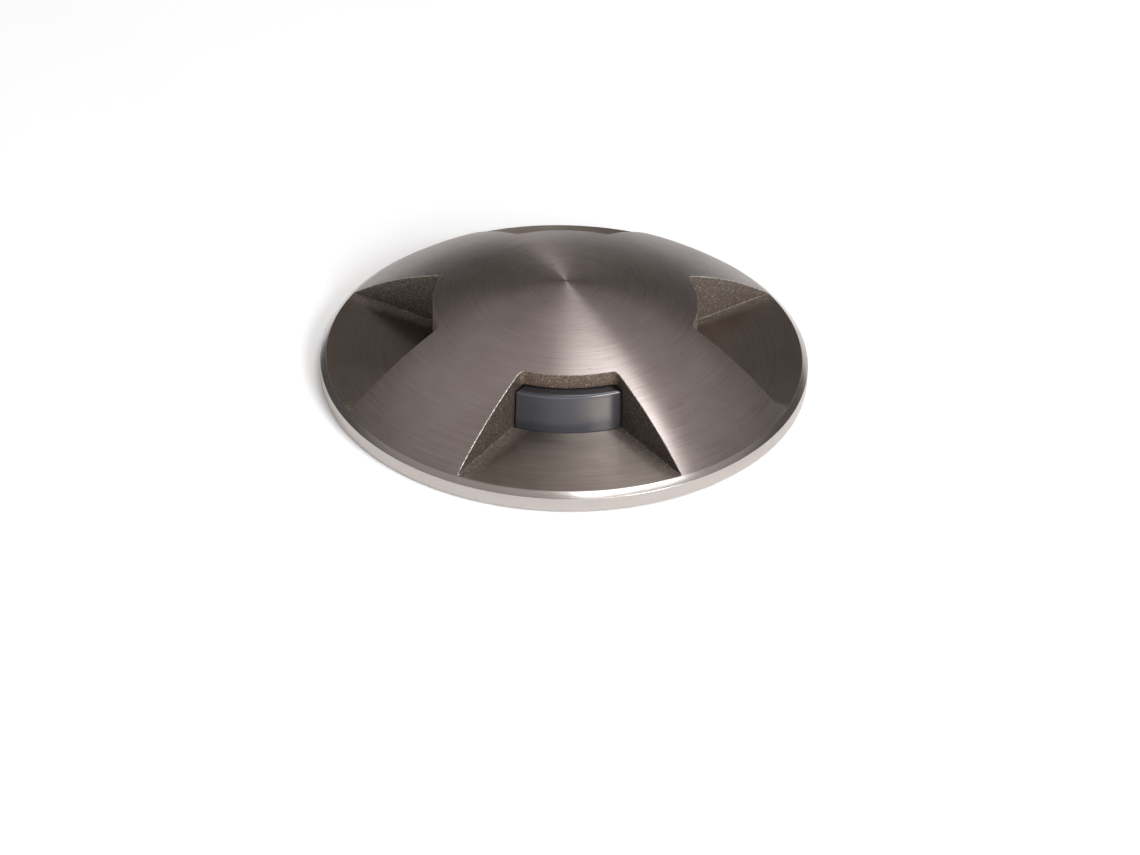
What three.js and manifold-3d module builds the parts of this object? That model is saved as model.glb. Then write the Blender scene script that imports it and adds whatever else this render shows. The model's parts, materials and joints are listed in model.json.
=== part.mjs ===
// Four-way recessed ground light, drive-over, with its recess sleeve. Millimetres, +Z up.
// The origin is on the light's axis, in the ground plane on which the cover's rim rests.
// Everything above z = 0 shows when the light is installed, and the rest is below the paving.
import * as THREE from "three";
import { mergeVertices } from "three/addons/utils/BufferGeometryUtils.js";
import Module from "manifold-3d";

const wasm = await Module();
wasm.setup();

const degree = Math.PI / 180;
const turn = 2 * Math.PI;

// Gaps shared by all the pieces
const seatGap = 0.3; // between pieces that rest on each other
const bondGap = 0.1; // glue or solder under a bonded piece
const threadGap = 0.12; // round a screw's shank in its hole
const slipGap = 0.15; // round a piece that slips into a bore
const overrun = 2; // how far a cutter passes the faces that it cuts

// Facets
const wideSegments = 64; // the cover
const bodySegments = 32; // other wide round pieces
const smallSegments = 16; // glands and parts of the driver
const bossSegments = 12; // ears and screw bosses
const screwSegments = 8;
const domeRings = 6;
const ceilingRings = 2; // of the hollows below the dome
const windowRows = 5;
const windowColumns = 4;
const edgeRoundSegments = 3;
const mergeTolerance = 1e-3;

// Cover: rim, bevel and dome
const rimRadius = 52.5;
const rimFaceHeight = 3.2;
const rimFootBreak = 0.3;
const rimLandWidth = 4.9; // solid ring that carries the load
const lipReliefGap = 0.3; // round the sleeve's lip, in the cover's underside
const lipReliefDepth = 0.3;
const bevelWidth = 1.2;
const bevelRise = 0.93;
const domeRadius = 81.5; // of the sphere that the dome is part of
const domeWall = 4; // over the lens
const armWall = 3.2; // round the cored arms between the windows

// Windows: wedges with upright walls, cut down to a nearly level floor
const windowCount = 4;
const windowDepth = 23; // from the bevel in to the window's back
const drumWall = 3; // behind a window's back
const windowApexOffset = 12.26; // from the light's axis to where the two walls would meet
const windowHalfAngle = 34.6 * degree;
const windowFloorRise = 0.4; // from the rim to the lens, so that rain runs off
const windowFloorStep = 0.1; // over the bevel's inner edge
const windowFillet = 1.2; // where the walls meet the floor
const windowFilletLeast = 0.04; // at the tips, where the walls run out
const windowFilletWallShare = 0.5; // of a low wall's height

// Lens: a cup with one pad for each window, proud in front and at the back and flush at the sides
const lensRingWall = 3;
const lensTopWall = 2;
const lensTopDrop = 3.5; // from the dome, at a window's back, down to the lens
const proudPad = { stand: 2.4, inset: 0.35 }; // in front of the window's back, and from its walls
const flushPad = { stand: -0.2, inset: 1.5 };
const lensPadRound = 1;
const lensPadRootDepth = 2; // of a pad inside the ring's outer face
const lensFlangeThickness = 1.2;

// Seals between cover, lens and housing
const gasketThickness = 1;
const gasketWidth = 4;
const gasketLandGap = 1.2; // between the lens flange's recess and the gasket
const gasketToScrew = 0.3; // from the gasket's edge to a screw's hole
const lensSealWidth = 3.3;
const lensSealEdge = 0.2; // inside the lens flange's edge

// Housing: deck and flange, can with fins, bosses and lugs
const flangeClearance = 0.8; // inside the sleeve
const deckThickness = 3;
const canWall = 2.5;
const canDepth = 28.4; // below the deck
const canTaper = 0.4;
const finHeight = 2.4;
const finThickness = 1.6;
const finFootGap = 2; // above the can's mouth
const finAngles = [15, 30, 37.5, 52.5, 60, 67.5, 75].map((a) => a * degree); // in each quarter
const earRadius = 3.5;
const earHeight = 8;
const earAngle = 22.5 * degree;
const earOffset = 3; // from the can's wall to the screw

// Screws: head radius and height, shank radius, and length below the head
const coverScrew = { headRadius: 3.5, headHeight: 3.2, shankRadius: 1.9, length: 9.5, key: 1.5 };
const coverScrewEdge = 3.7; // from the flange's edge to the screw
const coverScrewAngle = 45 * degree;
const coverScrewToCan = 0.5;
const coverBossWall = 2.2;
const screwTipRoom = 1; // under a screw's tip in a blind hole
const capScrew = { headRadius: 2.8, headHeight: 2.4, shankRadius: 1.4, length: 8, key: 1.2 };
const postScrew = { headRadius: 3.5, headHeight: 2.4, shankRadius: 1.9, length: 8, key: 1.3 };
const boardScrew = { headRadius: 2.2, headHeight: 1.6, shankRadius: 1.1, length: 6, key: 0.9 };
const screwHoleRoom = 0.3; // round a shank that passes through
const screwHeadRound = 0.5;

// Lamp: a square post with a light board on each side
const postCornerGap = 5; // from the lens's bore to the post's corners, before their chamfer
const postRoom = 1.6; // under the lens's top
const postChamfer = 1.5;
const ledBoardEdge = 2; // inside the post's side
const ledBoardTop = 0.8; // under the post's top
const ledBoardThickness = 1;
const ledBoardLift = 2.4; // over the post's foot
const ledWidth = 3.6;
const ledBase = 0.8;
const ledDomeRadius = 1.5;

// Driver, on three bosses under the deck
const driverBossRadius = 3;
const driverBossHeight = 9.4;
const driverBossEdge = 5.3; // inside the driver board's edge
const driverBossCount = 3;
const driverBossAngle = 30 * degree;
const driverBoardEdgeGap = 2.2; // inside the can
const driverBoardThickness = 1.6;
const coilRadius = 6.5;
const coilHeight = 8.5;
const coilWaist = 1.6;
const coilFlange = 1.2;
const coilShares = [-0.5, -0.29]; // places of the parts, of the driver board's radius
const capacitorRadius = 4;
const capacitorHeight = 11;
const capacitorCrimp = 0.35;
const capacitorShares = [0.45, -0.26];
const chipSize = [7, 9, 1.6];
const chipShares = [0, 0.14];
const terminalSize = [14, 9, 8];
const terminalShares = [0, 0.55];
const terminalWays = 2;
const terminalPitch = 6;
const terminalHoleRadius = 1.5;
const terminalWellRadius = 1.7;
const terminalWellDepth = 3;

// Leads from the driver board up to the first light board
const leadRadius = 0.7;
const leadSpread = 1.6; // of each lead from the middle
const leadEndSpread = 4.2;
const leadHoleRadius = 3;
const leadHoleInset = 4.4; // from the lens's bore
const leadRise = 1.4; // of the leads' ends over the light board's lower edge
const leadSegments = 6;
const leadSteps = 10;

// Bottom cap, its seal and the cable gland
const capThickness = 3;
const spigotHeight = 3.4;
const spigotWall = 3;
const capSealSection = 1.4;
const capSealDepth = 0.9; // of its groove
const glandStubRadius = 7.8;
const glandStubRise = 4.6; // inside the cap
const glandBoreRadius = 4.5;
const glandHexWidth = 19; // across flats
const glandHexHeight = 3.6;
const glandNeckRadius = 7;
const glandNeckLength = 4.6;
const glandSealWall = 1.5;
const glandSealLength = 3.4;
const glandNutWall = 2.4;
const glandNutRoom = 1.6; // inside the nut, past the neck
const glandNutTip = 1.8;
const glandNutRound = 1.5;
const locknutHeight = 2.8;

// Sprung clips that bear on the sleeve's bore
const clipCount = 4;
const clipWidth = 10;
const clipThickness = 0.8;
const clipPinRadius = 1;
const clipEyeGap = 0.2;
const clipPivotDrop = 6; // below the deck
const clipPivotOffset = 4.2; // out from the can
const clipBowDrop = 13; // from the pivot to where the clip bears
const clipLength = 20;
const clipTipIn = 2.6; // from the sleeve's bore to the clip's tip
const clipPathSteps = 8;
const lugThickness = 2.4;
const lugGap = 0.3;
const lugRound = 2.6; // of the lug round the pin
const lugRoot = 1; // sunk into the can's wall
const lugPinProud = 0.4;

// Recess sleeve, set in the paving
const lipOverhang = 1.8; // of the cover's rim past the sleeve's lip
const lipWidth = 3.7;
const lipThickness = 2;
const sleeveWall = 2.5;
const sleeveFloor = 3;
const sleeveFoot = 3; // of the wall below the floor
const leadRoom = 8; // between the gland and the sleeve's floor
const anchorRibHeight = 1.9;
const anchorRibThickness = 2;
const anchorRibShares = [0.75, 0.4]; // of the sleeve's depth, the lower rib first
const drainCount = 6;
const drainRadius = 4;
const drainCircle = 28;
const grommetRadius = 9;
const grommetLip = 2;
const grommetLipThickness = 1.2;
const grommetMembrane = 0.9;

// Radii, worked inwards from the rim
const domeEdgeRadius = rimRadius - bevelWidth;
const windowBackRadius = domeEdgeRadius - windowDepth;
const lipRadius = rimRadius - lipOverhang;
const sleeveRadius = lipRadius - lipWidth;
const sleeveBore = sleeveRadius - sleeveWall;
const flangeRadius = sleeveBore - flangeClearance;
const coverScrewCircle = flangeRadius - coverScrewEdge;
const canRadius = coverScrewCircle - coverScrew.headRadius - coverScrewToCan;
const canBore = canRadius - canWall;
const driverBoardRadius = canBore - driverBoardEdgeGap;
const driverBossCircle = driverBoardRadius - driverBossEdge;
const clipPivotRadius = canRadius + clipPivotOffset;
const coverScrewHole = coverScrew.shankRadius + screwHoleRoom;
const gasketOuter = coverScrewCircle - coverScrewHole - gasketToScrew;
const gasketInner = gasketOuter - gasketWidth;
const lensRecessRadius = gasketInner - gasketLandGap;
const lensFlangeRadius = lensRecessRadius - seatGap;
const lensRingRadius = windowBackRadius - drumWall - seatGap;
const lensRingBore = lensRingRadius - lensRingWall;
const leadHolePlace = lensRingBore - leadHoleInset;

// Heights of the cover and lens
const domeEdgeZ = rimFaceHeight + bevelRise;
const domeCentreZ = domeEdgeZ - Math.sqrt(domeRadius ** 2 - domeEdgeRadius ** 2);
const domeTopZ = domeCentreZ + domeRadius;
const windowFloorEdgeZ = domeEdgeZ + windowFloorStep;
const lensBottomZ = seatGap;
const lensTopZ = domeHeight(windowBackRadius) - lensTopDrop;

// Heights, worked down to the floor of the sleeve
const deckTopZ = -(2 * seatGap + gasketThickness);
const deckBottomZ = deckTopZ - deckThickness;
const deckMiddleZ = (deckTopZ + deckBottomZ) / 2;
const clipPivotZ = deckBottomZ - clipPivotDrop;
const driverBoardTopZ = deckBottomZ - driverBossHeight - seatGap;
const driverBoardBottomZ = driverBoardTopZ - driverBoardThickness;
const canBottomZ = deckBottomZ - canDepth;
const capTopZ = canBottomZ - seatGap;
const capBottomZ = capTopZ - capThickness;
const glandHexTopZ = capBottomZ - seatGap;
const glandHexBottomZ = glandHexTopZ - glandHexHeight;
const glandNeckBottomZ = glandHexBottomZ - glandNeckLength;
const glandNutTopZ = glandHexBottomZ - seatGap;
const glandNutBottomZ = glandNeckBottomZ - glandNutRoom - glandNutTip;
const sleeveFloorTopZ = glandNutBottomZ - leadRoom;
const sleeveFloorBottomZ = sleeveFloorTopZ - sleeveFloor;
const sleeveBottomZ = sleeveFloorBottomZ - sleeveFoot;

// The post, and the light boards on its sides
const postHalf = (lensRingBore - postCornerGap) / Math.SQRT2;
const postBottomZ = deckTopZ + bondGap;
const postTopZ = lensTopZ - lensTopWall - postRoom;
const ledBoardHalf = postHalf - ledBoardEdge;
const ledBoardInner = postHalf + bondGap;
const ledBoardOuter = ledBoardInner + ledBoardThickness;
const ledBoardBottomZ = postBottomZ + ledBoardLift;
const ledBoardTopZ = postTopZ - ledBoardTop;

// Height of the dome at a radius, or of a surface that lies a wall's thickness inside it
function domeHeight(radius, wall = 0) {
  return domeCentreZ + Math.sqrt((domeRadius - wall) ** 2 - radius ** 2);
}

// Height of a window's floor at a radius
function floorHeight(radius) {
  const share = (domeEdgeRadius - radius) / (domeEdgeRadius - windowBackRadius);
  return windowFloorEdgeZ + windowFloorRise * Math.max(0, share);
}

// Angle from a window's middle to its wall at a radius, with the wall moved in by an inset
function wallAngle(radius, inset = 0) {
  const apex = windowApexOffset + inset / Math.sin(windowHalfAngle);
  return windowHalfAngle - Math.asin((apex * Math.sin(windowHalfAngle)) / radius);
}

// Fillet radius between a window's wall and floor, which fades where the wall runs out
function filletAt(radius) {
  const height = radius < domeEdgeRadius ? domeHeight(radius) - floorHeight(radius) : 0;
  return Math.max(windowFilletLeast, Math.min(windowFillet, windowFilletWallShare * height));
}

// A closed three.js geometry as a solid with its faces outwards
function solidOf(geometry) {
  const bare = geometry.clone();
  bare.deleteAttribute("normal");
  bare.deleteAttribute("uv");
  const merged = mergeVertices(bare, mergeTolerance);
  const vertProperties = Float32Array.from(merged.attributes.position.array);
  const faces = [];
  for (let i = 0; i < merged.index.count; i += 3) {
    const [a, b, c] = [0, 1, 2].map((k) => merged.index.getX(i + k));
    if (a !== b && b !== c && c !== a) faces.push(a, b, c);
  }
  const made = (order) =>
    new wasm.Manifold(new wasm.Mesh({ numProp: 3, vertProperties, triVerts: Uint32Array.from(order) }));
  const solid = made(faces);
  return solid.volume() > 0 ? solid : made(faces.reverse());
}

// A solid as a three.js geometry with flat faces
function geometryOf(solid) {
  const mesh = solid.getMesh();
  const geometry = new THREE.BufferGeometry();
  geometry.setAttribute("position", new THREE.Float32BufferAttribute(mesh.vertProperties, 3));
  geometry.setIndex(Array.from(mesh.triVerts));
  geometry.computeVertexNormals();
  return geometry;
}

// A solid turned round Z, from a profile of [radius, z] points that closes on itself or the axis
function revolve(profile, segments) {
  const points = profile.map(([radius, z]) => new THREE.Vector2(radius, z));
  const onAxis = profile[0][0] === 0;
  if (!onAxis) points.push(points[0].clone());
  return solidOf(new THREE.LatheGeometry(points, segments).rotateX(Math.PI / 2));
}

// A disc or pin along Z between two heights
function disc(radius, low, high, segments = smallSegments, x = 0, y = 0) {
  const geometry = new THREE.CylinderGeometry(radius, radius, high - low, segments);
  return solidOf(geometry.rotateX(Math.PI / 2).translate(x, y, (low + high) / 2));
}

// A hexagonal bar along Z, given its width across flats
function hexBar(acrossFlats, low, high) {
  return disc(acrossFlats / 2 / Math.cos(Math.PI / 6), low, high, 6);
}

// A box between two corners
function block(low, high) {
  const size = low.map((v, i) => high[i] - v);
  const middle = low.map((v, i) => (v + high[i]) / 2);
  return solidOf(new THREE.BoxGeometry(...size).translate(...middle));
}

// A flat shape raised between two heights
function raise(shape, low, high, curveSegments = smallSegments) {
  const options = { depth: high - low, bevelEnabled: false, curveSegments };
  return solidOf(new THREE.ExtrudeGeometry(shape, options).translate(0, 0, low));
}

function polygon(points) {
  return new THREE.Shape(points.map(([x, y]) => new THREE.Vector2(x, y)));
}

// Copies of the solids made for the proud pads and the flush ones, each in its own windows, joined
function inWindows(make) {
  const [flush, proud] = [flushPad, proudPad].map((pad) => ringOf(make(pad), windowCount / 2));
  return flush.add(turned(proud, turn / windowCount));
}

// Copies of a solid in equal steps round Z, joined
function ringOf(solid, count) {
  return wasm.Manifold.union(
    Array.from({ length: count }, (_, k) => solid.rotate([0, 0, (k * 360) / count])),
  );
}

function turned(solid, angle) {
  return solid.rotate([0, 0, angle / degree]);
}

// A solid block from grids of points, stacked in layers from its floor to its top.
// Rows run along X, columns along Y, and each layer is a list of rows of points.
function gridBlock(layers) {
  const rows = layers[0].length - 1;
  const columns = layers[0][0].length - 1;
  const perLayer = (rows + 1) * (columns + 1);
  const at = (layer, row, column) => layer * perLayer + row * (columns + 1) + column;
  const faces = [];
  const quad = (a, b, c, d) => faces.push(a, b, c, a, c, d);
  const top = layers.length - 1;
  for (let r = 0; r < rows; r++)
    for (let c = 0; c < columns; c++) {
      quad(at(0, r, c), at(0, r, c + 1), at(0, r + 1, c + 1), at(0, r + 1, c));
      quad(at(top, r, c), at(top, r + 1, c), at(top, r + 1, c + 1), at(top, r, c + 1));
    }
  for (let k = 0; k < top; k++) {
    for (let r = 0; r < rows; r++) {
      quad(at(k, r, 0), at(k, r + 1, 0), at(k + 1, r + 1, 0), at(k + 1, r, 0));
      quad(at(k, r + 1, columns), at(k, r, columns), at(k + 1, r, columns), at(k + 1, r + 1, columns));
    }
    for (let c = 0; c < columns; c++) {
      quad(at(k, 0, c + 1), at(k, 0, c), at(k + 1, 0, c), at(k + 1, 0, c + 1));
      quad(at(k, rows, c), at(k, rows, c + 1), at(k + 1, rows, c + 1), at(k + 1, rows, c));
    }
  }
  const geometry = new THREE.BufferGeometry();
  geometry.setAttribute("position", new THREE.Float32BufferAttribute(layers.flat(3), 3));
  geometry.setIndex(faces);
  return solidOf(geometry);
}

// What one window removes from the dome: the space between its walls, over its floor
function windowCutter() {
  const radii = Array.from(
    { length: windowRows },
    (_, k) => windowBackRadius + ((domeEdgeRadius - windowBackRadius) * k) / (windowRows - 1),
  );
  radii.push(rimRadius + overrun);
  const layer = (filletAngle, topZ) =>
    radii.map((radius) => {
      const fillet = filletAt(radius);
      const inset = fillet * (1 - Math.sin(filletAngle));
      const z = topZ ?? floorHeight(radius) + fillet * (1 - Math.cos(filletAngle));
      const half = wallAngle(radius, inset);
      return Array.from({ length: windowColumns + 1 }, (_, c) => {
        const angle = half * ((2 * c) / windowColumns - 1);
        return [radius * Math.cos(angle), radius * Math.sin(angle), z];
      });
    });
  const filletAngles = [0, 45, 90].map((a) => a * degree);
  const layers = filletAngles.map((a) => layer(a));
  layers.push(layer(Math.PI / 2, domeTopZ + overrun));
  return gridBlock(layers);
}

// The wedge between a window's walls moved in by an inset, or out where it is negative
function wedge(inset, low, high) {
  const apex = windowApexOffset + inset / Math.sin(windowHalfAngle);
  const reach = rimRadius + overrun;
  const half = (reach - apex) * Math.tan(windowHalfAngle);
  return raise(polygon([[apex, 0], [reach, -half], [reach, half]]), low, high);
}

// The plan of one lens pad, grown by a gap on all sides. The sides of a proud pad follow the window's
// walls, and those of a flush pad, which is all inside the drum, point at the light's axis.
function padShape({ stand, inset }, gap) {
  const outer = windowBackRadius + stand + gap;
  const inner = lensRingRadius - lensPadRootDepth - gap;
  const outerAngle = wallAngle(outer, inset - gap);
  const innerAngle = stand > 0 ? wallAngle(inner, inset - gap) : outerAngle;
  const shape = new THREE.Shape();
  shape.moveTo(inner * Math.cos(innerAngle), -inner * Math.sin(innerAngle));
  shape.lineTo(outer * Math.cos(outerAngle), -outer * Math.sin(outerAngle));
  shape.absarc(0, 0, outer, -outerAngle, outerAngle, false);
  shape.lineTo(inner * Math.cos(innerAngle), inner * Math.sin(innerAngle));
  return shape;
}

function coverDome() {
  const arc = (rings, wall, from, to) =>
    Array.from({ length: rings + 1 }, (_, k) => {
      const radius = from + ((to - from) * k) / rings;
      return [radius, domeHeight(radius, wall)];
    });
  let cover = revolve(
    [
      [0, 0],
      [rimRadius - rimFootBreak, 0],
      [rimRadius, rimFootBreak],
      [rimRadius, rimFaceHeight],
      ...arc(domeRings, 0, domeEdgeRadius, 0),
    ],
    wideSegments,
  );
  const recessZ = lensBottomZ + lensFlangeThickness + seatGap;
  const pocketRadius = lensRingRadius + seatGap;
  const pocketZ = lensTopZ + seatGap;
  const ceilingRadius = Math.sqrt((domeRadius - domeWall) ** 2 - (pocketZ - domeCentreZ) ** 2);
  const pocket = revolve(
    [
      [0, -overrun],
      [lensRecessRadius, -overrun],
      [lensRecessRadius, recessZ],
      [pocketRadius, recessZ],
      [pocketRadius, pocketZ],
      ...arc(ceilingRings, domeWall, Math.min(ceilingRadius, pocketRadius), 0),
    ],
    bodySegments,
  );
  cover = cover.subtract(ringOf(windowCutter(), windowCount)).subtract(pocket);
  cover = cover.subtract(inWindows((pad) => raise(padShape(pad, seatGap), -overrun, pocketZ)));

  // The underside is relieved over the sleeve's lip, so that the rim stands on its outer edge
  const relief = washer(sleeveBore - lipReliefGap, lipRadius + lipReliefGap, -overrun, lipReliefDepth);

  // The arms are cored from below, round a boss for each screw
  const coreInner = gasketOuter + gasketLandGap;
  const coreOuter = rimRadius - rimLandWidth;
  const core = revolve(
    [[coreInner, -overrun], [coreOuter, -overrun], ...arc(ceilingRings, armWall, coreOuter, coreInner)],
    bodySegments,
  );
  const walls = ringOf(wedge(-armWall, -2 * overrun, domeTopZ), windowCount);
  const holeDepth = coverScrew.length - deckThickness - gasketThickness + screwTipRoom;
  const holeRadius = coverScrew.shankRadius + threadGap;
  const boss = disc(holeRadius + coverBossWall, -2 * overrun, domeTopZ, bossSegments, coverScrewCircle);
  const hole = disc(holeRadius, -overrun, holeDepth, screwSegments, coverScrewCircle);
  const bosses = turned(ringOf(boss, windowCount), coverScrewAngle);
  const holes = turned(ringOf(hole, windowCount), coverScrewAngle);
  cover = cover.subtract(relief).subtract(holes);
  return cover.subtract(core.subtract(walls).subtract(bosses));
}

function lens() {
  const cup = revolve(
    [
      [0, lensTopZ - lensTopWall],
      [lensRingBore, lensTopZ - lensTopWall],
      [lensRingBore, lensBottomZ],
      [lensFlangeRadius, lensBottomZ],
      [lensFlangeRadius, lensBottomZ + lensFlangeThickness],
      [lensRingRadius, lensBottomZ + lensFlangeThickness],
      [lensRingRadius, lensTopZ - lensPadRound],
      [lensRingRadius - lensPadRound, lensTopZ],
      [0, lensTopZ],
    ],
    bodySegments,
  );
  const padBlock = (pad) =>
    new THREE.ExtrudeGeometry(padShape(pad, 0), {
      depth: lensTopZ - lensBottomZ - 2 * lensPadRound,
      bevelThickness: lensPadRound,
      bevelSize: lensPadRound,
      bevelOffset: -lensPadRound,
      bevelSegments: edgeRoundSegments,
      curveSegments: windowColumns / 2,
    }).translate(0, 0, lensBottomZ + lensPadRound);
  return cup.add(inWindows((pad) => solidOf(padBlock(pad))));
}

// A flat ring between two heights
function washer(inner, outer, low, high, segments = bodySegments) {
  return revolve([[inner, low], [outer, low], [outer, high], [inner, high]], segments);
}

function lensSeal() {
  const outer = lensFlangeRadius - lensSealEdge;
  return washer(outer - lensSealWidth, outer, deckTopZ + seatGap, lensBottomZ - seatGap);
}

function coverGasket() {
  return washer(gasketInner, gasketOuter, deckTopZ + seatGap, -seatGap);
}

// One of the two lugs that hold a clip's pin, out from the can towards +X
function clipLug(side) {
  const inner = clipWidth / 2 + lugGap;
  const outline = new THREE.Shape();
  outline.moveTo(canRadius - lugRoot, deckBottomZ);
  outline.lineTo(clipPivotRadius + lugRound, deckBottomZ);
  outline.lineTo(clipPivotRadius + lugRound, clipPivotZ);
  outline.absarc(clipPivotRadius, clipPivotZ, lugRound, 0, -Math.PI / 2, true);
  outline.lineTo(canRadius - lugRoot, clipPivotZ - lugRound);
  outline.holes.push(
    new THREE.Path().absarc(clipPivotRadius, clipPivotZ, clipPinRadius + threadGap, 0, turn, false),
  );
  const plate = raise(outline, inner, inner + lugThickness, screwSegments).rotate([90, 0, 0]);
  return side > 0 ? plate : plate.mirror([0, 1, 0]);
}

function housing() {
  let body = revolve(
    [
      [0, deckBottomZ],
      [canBore, deckBottomZ],
      [canBore, canBottomZ],
      [canRadius - canTaper, canBottomZ],
      [canRadius, deckBottomZ],
      [flangeRadius, deckBottomZ],
      [flangeRadius, deckTopZ],
      [0, deckTopZ],
    ],
    bodySegments,
  );
  const fin = block(
    [canRadius - canWall / 2, -finThickness / 2, canBottomZ + finFootGap],
    [canRadius + finHeight, finThickness / 2, deckMiddleZ],
  );
  const ear = disc(earRadius, canBottomZ, canBottomZ + earHeight, bossSegments, canRadius + earOffset).add(
    block(
      [canRadius - canWall / 2, -earRadius, canBottomZ],
      [canRadius + earOffset, earRadius, canBottomZ + earHeight],
    ),
  );
  const quarter = wasm.Manifold.union([
    ...finAngles.map((angle) => turned(fin, angle)),
    turned(ear, earAngle),
    clipLug(1),
    clipLug(-1),
  ]);
  const bossBottomZ = deckBottomZ - driverBossHeight;
  const boss = disc(driverBossRadius, bossBottomZ, deckMiddleZ, screwSegments, driverBossCircle);
  const bosses = turned(ringOf(boss, driverBossCount), driverBossAngle);
  body = body.add(ringOf(quarter, clipCount)).add(bosses);

  const throughDeck = (radius, x = 0, y = 0) =>
    disc(radius, deckBottomZ - overrun, deckTopZ + overrun, screwSegments, x, y);
  const coverHole = throughDeck(coverScrewHole, coverScrewCircle);
  const capHole = disc(
    capScrew.shankRadius + threadGap,
    canBottomZ - overrun,
    canBottomZ + capScrew.length - capThickness + screwTipRoom,
    screwSegments,
    canRadius + earOffset,
  );
  const boardHole = disc(
    boardScrew.shankRadius + threadGap,
    bossBottomZ - overrun,
    bossBottomZ + boardScrew.length - driverBoardThickness + screwTipRoom,
    screwSegments,
    driverBossCircle,
  );
  return wasm.Manifold.difference([
    body,
    turned(ringOf(coverHole, windowCount), coverScrewAngle),
    turned(ringOf(capHole, clipCount), earAngle),
    turned(ringOf(boardHole, driverBossCount), driverBossAngle),
    throughDeck(postScrew.shankRadius + screwHoleRoom),
    throughDeck(leadHoleRadius, 0, leadHolePlace),
  ]);
}

// A screw with its head down and its shank up, head seated at z = 0 and a hexagon recess
function screw({ headRadius, headHeight, shankRadius, length, key }) {
  const body = revolve(
    [
      [0, -headHeight],
      [headRadius - screwHeadRound, -headHeight],
      [headRadius, -headHeight + screwHeadRound],
      [headRadius, 0],
      [shankRadius, 0],
      [shankRadius, length - shankRadius / 2],
      [shankRadius / 2, length],
      [0, length],
    ],
    screwSegments,
  );
  return body.subtract(hexBar(2 * key, -headHeight - overrun, -headHeight / 2));
}

function ledPost() {
  const half = postHalf;
  const cut = half - postChamfer;
  const corners = [
    [half, cut],
    [cut, half],
    [-cut, half],
    [-half, cut],
    [-half, -cut],
    [-cut, -half],
    [cut, -half],
    [half, -cut],
  ];
  const post = raise(polygon(corners), postBottomZ, postTopZ);
  const holeTopZ = postBottomZ + postScrew.length - deckThickness + screwTipRoom;
  const holeRadius = postScrew.shankRadius + threadGap;
  return post.subtract(disc(holeRadius, postBottomZ - overrun, holeTopZ, screwSegments));
}

// A light board on the post's +X side, and the light on it
function ledBoard() {
  return block([ledBoardInner, -ledBoardHalf, ledBoardBottomZ], [ledBoardOuter, ledBoardHalf, ledBoardTopZ]);
}

function led() {
  const face = ledBoardOuter + bondGap;
  const middleZ = (ledBoardBottomZ + ledBoardTopZ) / 2;
  const base = block(
    [face, -ledWidth / 2, middleZ - ledWidth / 2],
    [face + ledBase, ledWidth / 2, middleZ + ledWidth / 2],
  );
  const sphere = new THREE.SphereGeometry(ledDomeRadius, smallSegments / 2, screwSegments / 2);
  const dome = solidOf(sphere.translate(face + ledBase, 0, middleZ));
  return base.add(dome.trimByPlane([1, 0, 0], face + ledBase / 2));
}

function driverBoard() {
  const board = disc(driverBoardRadius, driverBoardBottomZ, driverBoardTopZ, bodySegments);
  const hole = disc(
    boardScrew.shankRadius + screwHoleRoom,
    driverBoardBottomZ - overrun,
    driverBoardTopZ + overrun,
    screwSegments,
    driverBossCircle,
  );
  return board.subtract(turned(ringOf(hole, driverBossCount), driverBossAngle));
}

// The parts below hang from the driver board's underside, drawn from z = 0 down
function driverCoil() {
  const waist = coilRadius - coilWaist;
  return revolve(
    [
      [0, -coilHeight],
      [coilRadius, -coilHeight],
      [coilRadius, -coilHeight + coilFlange],
      [waist, -coilHeight + coilFlange],
      [waist, -coilFlange],
      [coilRadius, -coilFlange],
      [coilRadius, 0],
      [0, 0],
    ],
    smallSegments,
  );
}

function driverCapacitor() {
  const r = capacitorRadius;
  const crimpZ = -2 * capacitorCrimp;
  return revolve(
    [
      [0, -capacitorHeight],
      [r - capacitorCrimp, -capacitorHeight],
      [r, -capacitorHeight + capacitorCrimp],
      [r, 3 * crimpZ],
      [r - capacitorCrimp, 2 * crimpZ],
      [r, crimpZ],
      [r, 0],
      [0, 0],
    ],
    smallSegments,
  );
}

function driverChip() {
  const [x, y, z] = chipSize;
  return block([-x / 2, -y / 2, -z], [x / 2, y / 2, 0]);
}

function terminalBlock() {
  const [x, y, z] = terminalSize;
  const body = block([-x / 2, -y / 2, -z], [x / 2, y / 2, 0]);
  const cutters = Array.from({ length: terminalWays }, (_, k) => {
    const place = (k - (terminalWays - 1) / 2) * terminalPitch;
    const well = disc(terminalWellRadius, -z - overrun, -z + terminalWellDepth, screwSegments, place);
    const mouth = disc(terminalHoleRadius, -overrun, y / 2, screwSegments).rotate([90, 0, 0]);
    return well.add(mouth.translate([place, 0, -z / 2]));
  });
  return body.subtract(wasm.Manifold.union(cutters));
}

// A lead that runs straight up through the deck, then bends in to the first light board
function lead(side) {
  const startZ = driverBoardTopZ + bondGap;
  const endZ = ledBoardBottomZ + leadRise;
  const endY = ledBoardOuter + bondGap + leadRadius;
  const path = new THREE.CatmullRomCurve3([
    new THREE.Vector3(side * leadSpread, leadHolePlace, startZ),
    new THREE.Vector3(side * leadSpread, leadHolePlace, deckBottomZ),
    new THREE.Vector3(side * leadSpread, leadHolePlace, deckTopZ),
    new THREE.Vector3(side * leadEndSpread, endY, endZ),
  ]);
  const section = new THREE.Shape().absarc(0, 0, leadRadius, 0, turn, false);
  return solidOf(
    new THREE.ExtrudeGeometry(section, {
      steps: leadSteps,
      extrudePath: path,
      curveSegments: leadSegments / 2,
    }),
  );
}

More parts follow.
